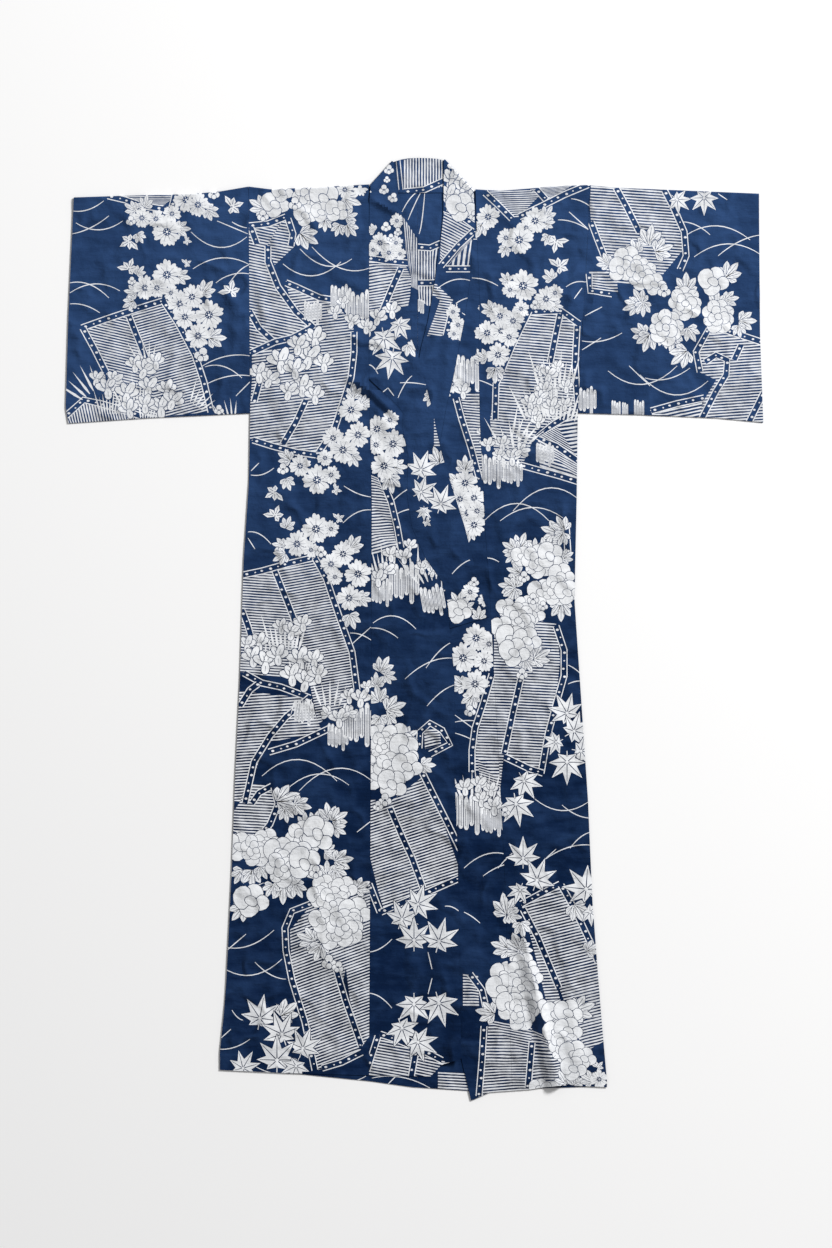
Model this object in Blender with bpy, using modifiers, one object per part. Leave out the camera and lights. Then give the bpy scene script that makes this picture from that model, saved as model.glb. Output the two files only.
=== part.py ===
"""Cotton yukata robe laid flat with its front up, the wearer's right front on top.

Seven sewn pieces, each a thin wall of cloth: two body panels folded over the shoulder,
two sleeves folded along their tops, two overlap panels (okumi) and one collar band.
The tables give the cut as it lies, in centimetres: x from the centre line towards the
wearer's left, down from the shoulder line towards the hem. Heights are in millimetres.
"""
import math

import bmesh
import bpy
import numpy as np
from mathutils import Vector

# Driving sizes in metres
WALL = 0.0012
BAND = 0.0016
SEAM_GAP = 0.0003
LAYER_GAP = 0.0006
SHOULDER_RADIUS = 0.0024
SLEEVE_FOLD_RADIUS = 0.0020
SLEEVE_SEAM_RADIUS = 0.0009
NECK_FOLD_RADIUS = 0.0022
NECK_FOLD_LOW = 0.0024
SHOULDER_ABOVE_CENTRE = 0.8196
MERGE = 0.00001
CM = 0.01
MM = 0.001

# Driving sizes in centimetres
CENTRE_BACK = 0.6
NECK_DOWN = 0.75
ROW = 4.2
BACK_ROW = 14.0
LAST_ROW = 168.0
HEM_STRETCH_FROM = 36 * ROW
SETTLE = 6.0
RIGHT_OKUMI_TOP = 9 * ROW
LEFT_OKUMI_TOP = 2 * ROW
BAND_TOP_ROW = 2 * ROW
BAND_LAST_ROW = 19 * ROW

# Grid steps of the pieces
NECK_STEPS = 3
BODY_STEPS = 8
OKUMI_STEPS = 4
BAND_STEPS = 3
SLEEVE_STEPS = 12
SLEEVE_BACK_STEPS = 5
SLEEVE_FRONT_STEPS = 12
FOLD_STEPS = 4

CREASE_ANGLE = math.radians(50)
INDIGO = (0.035, 0.075, 0.22, 1.0)

# The first row of a table names its columns
RIGHT_SIDE = [
    ("down", "x"),
    (-1.0, -30.7), (42.0, -30.4), (54.4, -30.6), (69.2, -31.6), (91.4, -32.3),
    (109.9, -33.2), (126.5, -33.8), (148.7, -34.9), (163.5, -36.0),
]
LEFT_SIDE = [
    ("down", "x"),
    (-1.0, 32.65), (42.0, 30.2), (58.1, 30.0), (76.6, 29.6), (91.4, 30.6),
    (113.6, 32.1), (132.1, 32.9), (150.6, 34.3), (166.7, 35.6),
]
RIGHT_FRONT_SEAM = [
    ("down", "x"),
    (0.0, -8.4), (35.7, -8.4), (58.1, -7.9), (110.0, -8.1), (164.5, -8.4),
]
LEFT_FRONT_SEAM = [
    ("down", "x"),
    (0.0, 11.25), (8.0, 11.5), (20.0, 12.0), (34.0, 11.9), (44.0, 12.1), (54.0, 12.6),
    (64.0, 13.1), (75.0, 13.9), (92.0, 14.8), (110.0, 15.8), (128.0, 16.7), (168.0, 18.1),
]
RIGHT_FRONT_EDGE = [
    ("down", "x"),
    (81.8, 6.5), (90.5, 7.4), (107.3, 7.4), (124.7, 8.0), (161.7, 8.6),
]
LEFT_FRONT_EDGE = [
    ("down", "x"),
    (80.3, 0.1), (91.4, 0.1), (106.2, 1.9), (124.7, 4.0), (143.2, 6.2), (160.6, 8.6),
    (169.1, 10.7),
]
RIGHT_BAND = [
    ("down", "seam", "free"),
    (8.0, -8.4, -2.0), (12.0, -8.4, -1.6), (17.4, -8.4, -0.6), (22.9, -8.4, -1.0),
    (28.6, -8.4, -0.5), (32.0, -8.4, 0.9), (35.7, -8.4, 1.8), (39.6, -4.2, 2.8),
    (41.8, -2.1, 3.4), (45.0, -2.2, 4.0), (49.8, -1.2, 5.1), (57.2, -1.4, 7.4),
    (63.1, -0.5, 9.3), (69.0, 2.1, 10.8), (73.8, 5.5, 12.0), (80.0, 6.4, 13.6),
]
LEFT_BAND = [
    ("down", "seam", "free"),
    (8.0, 11.1, 5.1), (12.0, 10.6, 4.5), (16.7, 10.4, 3.9), (21.6, 9.7, 3.1),
    (25.0, 9.2, 2.5), (30.0, 8.2, 1.2), (35.9, 7.1, 0.2), (41.4, 5.8, -1.0),
    (48.7, 4.5, -2.1), (56.2, 2.9, -3.7), (65.5, 1.6, -4.9), (80.3, 0.1, -6.4),
]
# The collar's fold lines at the neck, where it turns under to run along the back
RIGHT_NECK_FOLD = [
    ("seam_x", "seam_down", "free_x", "free_down"),
    (-8.10, 0.15, -3.95, -4.40),
]
LEFT_NECK_FOLD = [
    ("seam_x", "seam_down", "free_x", "free_down"),
    (10.90, 1.15, 5.40, -4.70),
]
# The collar's stretches before, between and after these folds
RIGHT_NECK = [
    ("seam_x", "seam_down", "free_x", "free_down", "seam_z", "free_z"),
    (-8.33, 5.0, -2.3, 5.0, 3.0, 3.2),
    (-8.30, 2.4, -3.0, 1.6, 4.4, 5.0),
]
BACK_NECK = [
    ("seam_x", "seam_down", "free_x", "free_down", "seam_z", "free_z"),
    (-6.00, 0.70, -2.5, -4.85, 2.5, 2.4),
    (-3.60, 0.70, -1.2, -5.05, 1.5, 3.2),
    (0.60, 0.70, 0.6, -5.15, 1.2, 4.2),
    (4.70, 0.70, 2.7, -5.1, 1.2, 3.6),
    (8.20, 0.70, 4.2, -5.0, 2.2, 2.6),
]
LEFT_NECK = [
    ("seam_x", "seam_down", "free_x", "free_down", "seam_z", "free_z"),
    (11.10, 3.4, 5.4, 1.2, 4.4, 5.0),
    (11.13, 6.0, 5.35, 4.8, 3.0, 3.2),
]
RIGHT_BAND_END = [
    ("seam_x", "seam_down", "free_x", "free_down"),
    (6.55, 81.8, 13.8, 79.7),
    (6.25, 78.2, 13.0, 77.3),
]
SHOULDER_LINE = [
    ("x", "down"),
    (-31.4, 0.1), (-26.7, 0.7), (-19.3, 0.4), (-8.4, -0.2), (11.2, 0.7), (15.8, 1.0),
    (26.9, 0.1), (32.6, -0.1),
]
BACK_HEM = [
    ("x", "down"),
    (-36.0, 163.4), (-21.2, 164.3), (-8.2, 165.6), (-0.5, 166.7), (10.3, 167.4),
    (35.6, 166.5),
]
RIGHT_FRONT_HEM = [
    ("x", "down"),
    (-36.0, 163.5), (-23.4, 164.1), (-8.2, 164.5), (3.1, 164.7), (4.9, 162.6), (8.6, 161.3),
]
LEFT_FRONT_HEM = [
    ("x", "down"),
    (10.7, 169.1), (14.0, 167.6), (21.4, 167.1), (26.4, 166.3), (35.6, 166.7),
]
RIGHT_SLEEVE_TOP = [
    ("x", "down"),
    (-63.0, 2.2), (-52.6, 1.85), (-41.5, 1.6), (-36.0, 1.1), (-30.7, 0.2),
]
RIGHT_SLEEVE_BOTTOM = [
    ("x", "down"),
    (-64.5, 44.0), (-48.9, 42.9), (-30.4, 42.0),
]
RIGHT_CUFF = [
    ("down", "x"),
    (2.2, -63.0), (24.0, -64.0), (41.0, -64.5), (44.0, -64.0),
]
LEFT_SLEEVE_TOP = [
    ("x", "down"),
    (32.6, 0.0), (37.1, 0.4), (63.7, 1.5),
]
LEFT_SLEEVE_BOTTOM = [
    ("x", "down"),
    (30.2, 41.9), (43.0, 42.3), (56.0, 42.9), (64.5, 43.8),
]
LEFT_CUFF = [
    ("down", "x"),
    (1.5, 63.7), (27.6, 63.9), (43.8, 64.5),
]
# Soft ridges: a line, the half width across it and the height at three places along it
FOLDS = [
    ("cloth", "x0", "down0", "x1", "down1", "half", "start", "middle", "end"),
    ("left front", 18.6, 133.0, 26.2, 168.0, 2.4, 0.0, 2.0, 14.0),
    ("left front", 13.4, 164.5, 21.9, 158.0, 1.8, 0.0, 4.0, 2.0),
    ("left front", 29.5, 16.0, 28.0, 27.0, 2.0, 0.0, 3.0, 0.0),
    ("right front", 8.6, 148.0, 8.6, 161.5, 4.5, 0.0, 0.0, 12.0),
    ("right front", -13.0, 35.2, -7.6, 38.2, 1.8, 0.0, 5.0, 2.0),
    ("right front", -9.0, 52.7, -14.5, 59.8, 1.6, 0.0, 3.0, 0.0),
    ("right front", -10.0, 53.0, -19.5, 60.3, 1.6, 0.0, 2.0, 0.0),
    ("right sleeve", -37.0, 13.0, -31.0, 26.0, 2.2, 0.0, 4.0, 2.0),
    ("left sleeve", 34.5, 14.0, 31.5, 27.0, 2.2, 0.0, 5.0, 1.0),
    ("left sleeve", 34.3, 30.3, 41.7, 35.0, 1.8, 0.0, 3.0, 0.0),
    ("left sleeve", 58.5, 23.5, 64.4, 19.2, 1.8, 0.0, 3.0, 2.0),
]
# How far down the cloth falls, at a distance from the edge that it lies over
DRAPE = [
    ("distance", "fall"),
    (0.0, 0.0), (2.0, 0.0), (4.0, 0.5), (6.0, 1.2), (8.0, 2.0),
]
DRAPE_DIRECTIONS = 8


def column(table, name):
    """One column of a table, by its name in the first row."""
    place = table[0].index(name)
    return [row[place] for row in table[1:]]


def read(table, at, by="down", want="x"):
    """Straight-line reading of one column against another."""
    return float(np.interp(at, column(table, by), column(table, want)))


def share(start, end, part):
    """The value that lies a part of the way from start to end."""
    return start + (end - start) * part


def point(x, down, height):
    """A place in the tables, x and down in cm and height in m, as a point in metres."""
    return Vector((x * CM, SHOULDER_ABOVE_CENTRE - down * CM, height))


def folds(wanted, x, down):
    """Height that the soft ridges of one cloth add at a place."""
    total = 0.0
    for name, x0, down0, x1, down1, half, start, middle, end in FOLDS[1:]:
        if name != wanted:
            continue
        line = Vector((x1 - x0, down1 - down0))
        offset = Vector((x - x0, down - down0))
        along = min(max(offset.dot(line) / line.length_squared, 0.0), 1.0)
        away = (offset - line * along).length / half
        if away < 1.0:
            height = share(start, end, along) + middle * math.sin(math.pi * along)
            total += height * MM * math.cos(away * math.pi / 2) ** 2
    return total


def left_front_middle(x, down):
    """Mid height of the wearer's left front and okumi, which lie on the back."""
    return WALL * 1.5 + LAYER_GAP + folds("left front", x, down)


def top_beneath_right(x, down):
    """Top of what lies under the wearer's right front: back, left front or left band."""
    if down <= BAND_LAST_ROW + 1.0:
        edge = read(LEFT_BAND, down, want="free")
        seam = read(LEFT_BAND, down, want="seam")
    else:
        edge = read(LEFT_FRONT_EDGE, down)
        seam = edge
    if x < edge or down < NECK_DOWN:
        return WALL
    if x < seam:
        return WALL + LAYER_GAP + BAND
    return left_front_middle(x, down) + WALL / 2


def draped_top(x, down):
    """Top of the layers beneath, spread as a cloth bridges their edges."""
    best = top_beneath_right(x, down)
    for distance, fall in DRAPE[1:]:
        for step in range(DRAPE_DIRECTIONS):
            angle = 2 * math.pi * step / DRAPE_DIRECTIONS
            near = top_beneath_right(x + distance * math.cos(angle),
                                     down + distance * math.sin(angle))
            best = max(best, near - fall * MM)
    return best


def right_front_middle(x, down):
    """Mid height of the wearer's right front and okumi, on top of all the rest."""
    return draped_top(x, down) + LAYER_GAP + WALL / 2 + folds("right front", x, down)


def settled(height, down, top_line, raised):
    """Height near a fold line, where the cloth comes down from the fold's top."""
    near = max(0.0, 1.0 - (down - top_line) / SETTLE)
    return max(height, share(height, raised, near * near))


def cotton(name):
    """Dyed cotton, one material for each piece."""
    material = bpy.data.materials.new(name)
    material.use_nodes = True
    shader = material.node_tree.nodes["Principled BSDF"]
    shader.inputs["Base Color"].default_value = INDIGO
    shader.inputs["Roughness"].default_value = 0.85
    shader.inputs["Metallic"].default_value = 0.0
    material.diffuse_color = INDIGO
    return material


def cloth(name, sections, thickness, closed=False, cut=None):
    """A wall of cloth through sections of points, one row of a grid for each section."""
    rows = len(sections) - 1
    steps = len(sections[0]) - 1
    grid = bmesh.new()
    bmesh.ops.create_grid(grid, x_segments=steps, y_segments=rows, size=1.0)
    grid.verts.ensure_lookup_table()
    for row, section in enumerate(sections):
        for step, place in enumerate(section):
            grid.verts[row * (steps + 1) + step].co = place
    if cut:
        grid.faces.ensure_lookup_table()
        away = [grid.faces[row * steps + step] for row in range(rows)
                for step in range(steps) if cut(row, step)]
        bmesh.ops.delete(grid, geom=away, context="FACES")
    if closed:
        bmesh.ops.remove_doubles(grid, verts=grid.verts, dist=MERGE)
    mesh = bpy.data.meshes.new(name)
    grid.to_mesh(mesh)
    grid.free()
    mesh.shade_smooth()
    mesh.set_sharp_from_angle(angle=CREASE_ANGLE)
    mesh.materials.append(cotton(name))
    piece = bpy.data.objects.new(name, mesh)
    PARTS.objects.link(piece)
    wall = piece.modifiers.new("wall", "SOLIDIFY")
    wall.thickness = thickness
    wall.offset = 0.0
    wall.use_even_offset = True
    return piece


def hem_row(down, hem, x):
    """Rows keep their place down to the stretch above the hem, which follows the hem."""
    if down <= HEM_STRETCH_FROM:
        return down
    part = (down - HEM_STRETCH_FROM) / (LAST_ROW - HEM_STRETCH_FROM)
    return share(HEM_STRETCH_FROM, read(hem, x, by="x", want="down"), part)


def body_panel(name, side, seam, front_hem, middle, hand):
    """One length of cloth from the back hem over the shoulder to the front hem."""
    gap = hand * SEAM_GAP / CM / 2
    centre = CENTRE_BACK + gap
    radius = SHOULDER_RADIUS / CM
    sections = []

    def across(down, inner):
        neck = [share(centre, inner, step / NECK_STEPS) for step in range(NECK_STEPS)]
        outer = read(side, down) - gap
        return neck + [share(inner, outer, step / BODY_STEPS)
                       for step in range(BODY_STEPS + 1)]

    neck_edge = read(seam, 0.0) + gap
    back_rows = int(LAST_ROW / BACK_ROW)
    for row in range(back_rows, 0, -1):
        section = []
        for x in across(row * BACK_ROW, neck_edge):
            section.append(point(x, hem_row(row * BACK_ROW, BACK_HEM, x), WALL / 2))
        sections.append(section)
    side_line = read(SHOULDER_LINE, read(side, 0.0), by="x", want="down")
    for row in range(FOLD_STEPS + 1):
        turn = math.pi * (row / FOLD_STEPS - 0.5)
        side_down = side_line + radius * (1 - math.cos(turn))
        section = []
        for step, x in enumerate(across(side_down, neck_edge)):
            line = read(SHOULDER_LINE, x, by="x", want="down")
            down = line + radius * (1 - math.cos(turn))
            if step < NECK_STEPS:
                down = NECK_DOWN
            height = WALL / 2 + SHOULDER_RADIUS * (1 + math.sin(turn))
            section.append(point(x, down, height))
        sections.append(section)
    fold_top = WALL / 2 + 2 * SHOULDER_RADIUS
    for row in range(1, round(LAST_ROW / ROW) + 1):
        section = []
        for x in across(row * ROW, read(seam, row * ROW) + gap):
            down = hem_row(row * ROW, front_hem, x)
            line = read(SHOULDER_LINE, x, by="x", want="down")
            height = settled(middle(x, down), down, line, fold_top)
            section.append(point(x, down, height))
        sections.append(section)
    return cloth(name, sections, WALL,
                 cut=lambda row, step: row >= back_rows and step < NECK_STEPS)


def okumi(name, top, seam, edge, hem, middle, hand):
    """The narrow overlap panel between a front's seam and its collar and front edge."""
    gap = hand * SEAM_GAP / CM / 2
    sections = []
    for row in range(round(top / ROW), round(LAST_ROW / ROW) + 1):
        section = []
        for step in range(OKUMI_STEPS + 1):
            x = share(read(seam, row * ROW) - gap, edge(row * ROW) + gap, step / OKUMI_STEPS)
            down = hem_row(row * ROW, hem, x)
            section.append(point(x, down, middle(x, down)))
        sections.append(section)
    return cloth(name, sections, WALL)


def right_okumi_edge(down):
    """The right okumi ends at the collar seam, and below the collar at its own edge."""
    if down <= BAND_LAST_ROW:
        return read(RIGHT_BAND, down, want="seam")
    return read(RIGHT_FRONT_EDGE, down)


def left_okumi_edge(down):
    """The left okumi ends at the collar seam, and below the collar at its own edge."""
    if down <= BAND_LAST_ROW:
        return read(LEFT_BAND, down, want="seam")
    return read(LEFT_FRONT_EDGE, down)


def sleeve(name, cloth_name, armhole, cuff, top, bottom, hand):
    """A flattened tube, folded along its top and sewn along its bottom."""
    gap = hand * SEAM_GAP / CM / 2
    base = WALL / 2
    fold_height = base + 2 * SLEEVE_FOLD_RADIUS
    seam_height = base + 2 * SLEEVE_SEAM_RADIUS
    sections = []
    for ring in range(SLEEVE_STEPS + 1):
        along = ring / SLEEVE_STEPS

        def place(down, height):
            x = share(read(armhole, down) + gap, read(cuff, down), along)
            return point(x, down, height)

        reach = share(read(armhole, 0.0), read(cuff, 0.0), along)
        upper = read(top, reach, by="x", want="down")
        lower = read(bottom, reach, by="x", want="down")
        top_radius = SLEEVE_FOLD_RADIUS / CM
        low_radius = SLEEVE_SEAM_RADIUS / CM
        section = []
        for step in range(SLEEVE_BACK_STEPS):
            part = step / SLEEVE_BACK_STEPS
            section.append(place(share(lower - low_radius, upper + top_radius, part), base))
        for step in range(FOLD_STEPS):
            turn = math.pi * (step / FOLD_STEPS - 0.5)
            height = base + SLEEVE_FOLD_RADIUS * (1 + math.sin(turn))
            section.append(place(upper + top_radius * (1 - math.cos(turn)), height))
        for step in range(SLEEVE_FRONT_STEPS):
            part = step / SLEEVE_FRONT_STEPS
            down = share(upper + top_radius, lower - low_radius, part)
            x = share(read(armhole, down), read(cuff, down), along)
            height = settled(seam_height, down, upper, fold_height)
            section.append(place(down, height + folds(cloth_name, x, down)))
        for step in range(FOLD_STEPS + 1):
            turn = math.pi * (0.5 - step / FOLD_STEPS)
            height = base + SLEEVE_SEAM_RADIUS * (1 + math.sin(turn))
            section.append(place(lower - low_radius * (1 - math.cos(turn)), height))
        sections.append(section)
    return cloth(name, sections, WALL, closed=True)


def collar():
    """One long doubled band from the right front round the neck to the hidden left end."""
    gap = SEAM_GAP / CM / 2

    def section(seam, free, height):
        places = []
        for step in range(BAND_STEPS + 1):
            x, down = (share(a, b, step / BAND_STEPS) for a, b in zip(seam, free))
            places.append(point(x, down, height(x, down, step / BAND_STEPS)))
        return places

    def on_right(x, down, part):
        fold = folds("right front", x, down)
        return draped_top(x, down) + LAYER_GAP + BAND / 2 + fold

    def on_back(x, down, part):
        return WALL + LAYER_GAP + BAND / 2

    def along(table):
        for seam_x, seam_down, free_x, free_down, seam_z, free_z in table[1:]:
            sections.append(section((seam_x, seam_down), (free_x, free_down),
                                    lambda x, down, part: share(seam_z, free_z, part) * MM))

    def neck_fold(table, hand, turns):
        seam_x, seam_down, free_x, free_down = table[1]
        line = Vector((free_x - seam_x, free_down - seam_down)).normalized()
        outward = Vector((line.y, -line.x)) * -hand
        for turn in turns:
            bulge = outward * (NECK_FOLD_RADIUS / CM * math.cos(turn))
            height = NECK_FOLD_LOW + NECK_FOLD_RADIUS * (1 + math.sin(turn))
            sections.append(section((seam_x + bulge.x, seam_down + bulge.y),
                                    (free_x + bulge.x, free_down + bulge.y),
                                    lambda x, down, part: height))

    rows = [row * ROW for row in range(round(BAND_TOP_ROW / ROW), round(BAND_LAST_ROW / ROW) + 1)]
    rising = [math.pi * (row / FOLD_STEPS - 0.5) for row in range(FOLD_STEPS + 1)]
    sections = []
    for seam_x, seam_down, free_x, free_down in RIGHT_BAND_END[1:]:
        sections.append(section((seam_x + gap, seam_down), (free_x, free_down), on_right))
    for down in reversed(rows[:-1]):
        seam = (read(RIGHT_BAND, down, want="seam") + gap, down)
        sections.append(section(seam, (read(RIGHT_BAND, down, want="free"), down), on_right))
    along(RIGHT_NECK)
    neck_fold(RIGHT_NECK_FOLD, -1, reversed(rising))
    along(BACK_NECK)
    neck_fold(LEFT_NECK_FOLD, 1, rising)
    along(LEFT_NECK)
    for down in rows:
        seam = (read(LEFT_BAND, down, want="seam") - gap, down)
        sections.append(section(seam, (read(LEFT_BAND, down, want="free"), down), on_back))
    return cloth("collar", sections, BAND)


def centre_on_floor():
    """Put the middle of the whole outline at the origin, with the underside at zero."""
    bpy.context.view_layer.update()
    graph = bpy.context.evaluated_depsgraph_get()
    corners = [Vector(corner) for piece in PARTS.objects
               for corner in piece.evaluated_get(graph).bound_box]
    low = Vector([min(corner[axis] for corner in corners) for axis in range(3)])
    high = Vector([max(corner[axis] for corner in corners) for axis in range(3)])
    shift = Vector(((low.x + high.x) / 2, (low.y + high.y) / 2, low.z))
    for piece in PARTS.objects:
        for vertex in piece.data.vertices:
            vertex.co -= shift


for old in list(bpy.data.objects):
    bpy.data.objects.remove(old)
PARTS = bpy.data.collections.new("yukata")
bpy.context.scene.collection.children.link(PARTS)

# The wearer's right is at negative x, because the front faces up
body_panel("right_body", RIGHT_SIDE, RIGHT_FRONT_SEAM, RIGHT_FRONT_HEM, right_front_middle, -1)
body_panel("left_body", LEFT_SIDE, LEFT_FRONT_SEAM, LEFT_FRONT_HEM, left_front_middle, 1)
sleeve("right_sleeve", "right sleeve", RIGHT_SIDE, RIGHT_CUFF, RIGHT_SLEEVE_TOP,
       RIGHT_SLEEVE_BOTTOM, -1)
sleeve("left_sleeve", "left sleeve", LEFT_SIDE, LEFT_CUFF, LEFT_SLEEVE_TOP,
       LEFT_SLEEVE_BOTTOM, 1)
okumi("right_okumi", RIGHT_OKUMI_TOP, RIGHT_FRONT_SEAM, right_okumi_edge, RIGHT_FRONT_HEM,
      right_front_middle, -1)
okumi("left_okumi", LEFT_OKUMI_TOP, LEFT_FRONT_SEAM, left_okumi_edge, LEFT_FRONT_HEM,
      left_front_middle, 1)
collar()
centre_on_floor()
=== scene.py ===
# %% [markdown]
# # A cotton yukata, laid flat
#
# A yukata is cut from one narrow bolt of cotton: two long body panels that fold over the
# shoulders, two square sleeves, two narrow overlap panels (okumi) and one long collar band.
# Here it lies on a table with its front up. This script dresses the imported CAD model: each
# flat CAD panel gives way to a finer sheet of cloth in the same place, with soft creases and
# a printed pattern. The frame comes first, because every later step works in its metres.

# %% Load the frame
import math

import bpy
import numpy as np
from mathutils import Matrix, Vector


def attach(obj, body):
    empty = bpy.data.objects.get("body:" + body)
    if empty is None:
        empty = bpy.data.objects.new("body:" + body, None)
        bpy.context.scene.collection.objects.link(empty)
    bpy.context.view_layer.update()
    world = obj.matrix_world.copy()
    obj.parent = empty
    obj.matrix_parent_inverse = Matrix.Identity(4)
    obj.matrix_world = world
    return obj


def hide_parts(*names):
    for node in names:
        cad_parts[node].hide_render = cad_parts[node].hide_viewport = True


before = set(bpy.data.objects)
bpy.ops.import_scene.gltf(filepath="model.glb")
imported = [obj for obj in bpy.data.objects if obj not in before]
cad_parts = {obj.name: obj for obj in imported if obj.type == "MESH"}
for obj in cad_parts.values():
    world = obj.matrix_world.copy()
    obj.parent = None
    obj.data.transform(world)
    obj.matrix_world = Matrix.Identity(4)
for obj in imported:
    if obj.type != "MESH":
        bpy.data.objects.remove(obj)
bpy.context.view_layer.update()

print("nodes:", sorted(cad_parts))

# %% [markdown]
# ## The cut, as tables
#
# A garment is easiest to describe by its edges. Each table gives one edge as it lies: x from
# the centre line towards the wearer's left, and down from the shoulder towards the hem, both
# in centimetres. They could be traced as curves instead, but rows of numbers can be read,
# checked against a tape measure and used again for every height that depends on them.

# %% Edges of the panels
CM = 0.01
MM = 0.001
WALL = 0.0012
BAND = 0.0016
SEAM_GAP = 0.0003
LAYER_GAP = 0.0006
SHOULDER_RADIUS = 0.0024
SLEEVE_FOLD_RADIUS = 0.0020
SLEEVE_SEAM_RADIUS = 0.0009
SHOULDER_ABOVE_CENTRE = 0.8196
CENTRE_BACK = 0.6
NECK_DOWN = 0.75
LAST_ROW = 168.0
HEM_STRETCH_FROM = 151.2
BAND_LAST = 79.8
BAND_TOP = 8.4

RIGHT_SIDE = [
    ("down", "x"),
    (-1.0, -30.7), (42.0, -30.4), (54.4, -30.6), (69.2, -31.6), (91.4, -32.3),
    (109.9, -33.2), (126.5, -33.8), (148.7, -34.9), (163.5, -36.0),
]
LEFT_SIDE = [
    ("down", "x"),
    (-1.0, 32.65), (42.0, 30.2), (58.1, 30.0), (76.6, 29.6), (91.4, 30.6),
    (113.6, 32.1), (132.1, 32.9), (150.6, 34.3), (166.7, 35.6),
]
RIGHT_FRONT_SEAM = [
    ("down", "x"),
    (0.0, -8.4), (35.7, -8.4), (58.1, -7.9), (110.0, -8.1), (164.5, -8.4),
]
LEFT_FRONT_SEAM = [
    ("down", "x"),
    (0.0, 11.25), (8.0, 11.5), (20.0, 12.0), (34.0, 11.9), (44.0, 12.1), (54.0, 12.6),
    (64.0, 13.1), (75.0, 13.9), (92.0, 14.8), (110.0, 15.8), (128.0, 16.7), (168.0, 18.1),
]
RIGHT_FRONT_EDGE = [
    ("down", "x"),
    (81.8, 6.5), (90.5, 7.4), (107.3, 7.4), (124.7, 8.0), (161.7, 8.6),
]
LEFT_FRONT_EDGE = [
    ("down", "x"),
    (80.3, 0.1), (91.4, 0.1), (106.2, 1.9), (124.7, 4.0), (143.2, 6.2), (160.6, 8.6),
    (169.1, 10.7),
]
RIGHT_BAND = [
    ("down", "seam", "free"),
    (8.0, -8.4, -2.0), (12.0, -8.4, -1.6), (17.4, -8.4, -0.6), (22.9, -8.4, -1.0),
    (28.6, -8.4, -0.5), (32.0, -8.4, 0.9), (35.7, -8.4, 1.8), (39.6, -4.2, 2.8),
    (41.8, -2.1, 3.4), (45.0, -2.2, 4.0), (49.8, -1.2, 5.1), (57.2, -1.4, 7.4),
    (63.1, -0.5, 9.3), (69.0, 2.1, 10.8), (73.8, 5.5, 12.0), (80.0, 6.4, 13.6),
]
LEFT_BAND = [
    ("down", "seam", "free"),
    (8.0, 11.1, 5.1), (12.0, 10.6, 4.5), (16.7, 10.4, 3.9), (21.6, 9.7, 3.1),
    (25.0, 9.2, 2.5), (30.0, 8.2, 1.2), (35.9, 7.1, 0.2), (41.4, 5.8, -1.0),
    (48.7, 4.5, -2.1), (56.2, 2.9, -3.7), (65.5, 1.6, -4.9), (80.3, 0.1, -6.4),
]
SHOULDER_LINE = [
    ("x", "down"),
    (-31.4, 0.1), (-26.7, 0.7), (-19.3, 0.4), (-8.4, -0.2), (11.2, 0.7), (15.8, 1.0),
    (26.9, 0.1), (32.6, -0.1),
]
BACK_HEM = [
    ("x", "down"),
    (-36.0, 163.4), (-21.2, 164.3), (-8.2, 165.6), (-0.5, 166.7), (10.3, 167.4),
    (35.6, 166.5),
]
RIGHT_FRONT_HEM = [
    ("x", "down"),
    (-36.0, 163.5), (-23.4, 164.1), (-8.2, 164.5), (3.1, 164.7), (4.9, 162.6), (8.6, 161.3),
]
LEFT_FRONT_HEM = [
    ("x", "down"),
    (10.7, 169.1), (14.0, 167.6), (21.4, 167.1), (26.4, 166.3), (35.6, 166.7),
]
RIGHT_SLEEVE_TOP = [
    ("x", "down"),
    (-63.0, 2.2), (-52.6, 1.85), (-41.5, 1.6), (-36.0, 1.1), (-30.7, 0.2),
]
RIGHT_SLEEVE_BOTTOM = [("x", "down"), (-64.5, 44.0), (-48.9, 42.9), (-30.4, 42.0)]
RIGHT_CUFF = [("down", "x"), (2.2, -63.0), (24.0, -64.0), (41.0, -64.5), (44.0, -64.0)]
LEFT_SLEEVE_TOP = [("x", "down"), (32.6, 0.0), (37.1, 0.4), (63.7, 1.5)]
LEFT_SLEEVE_BOTTOM = [
    ("x", "down"),
    (30.2, 41.9), (43.0, 42.3), (56.0, 42.9), (64.5, 43.8),
]
LEFT_CUFF = [("down", "x"), (1.5, 63.7), (27.6, 63.9), (43.8, 64.5)]
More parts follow.
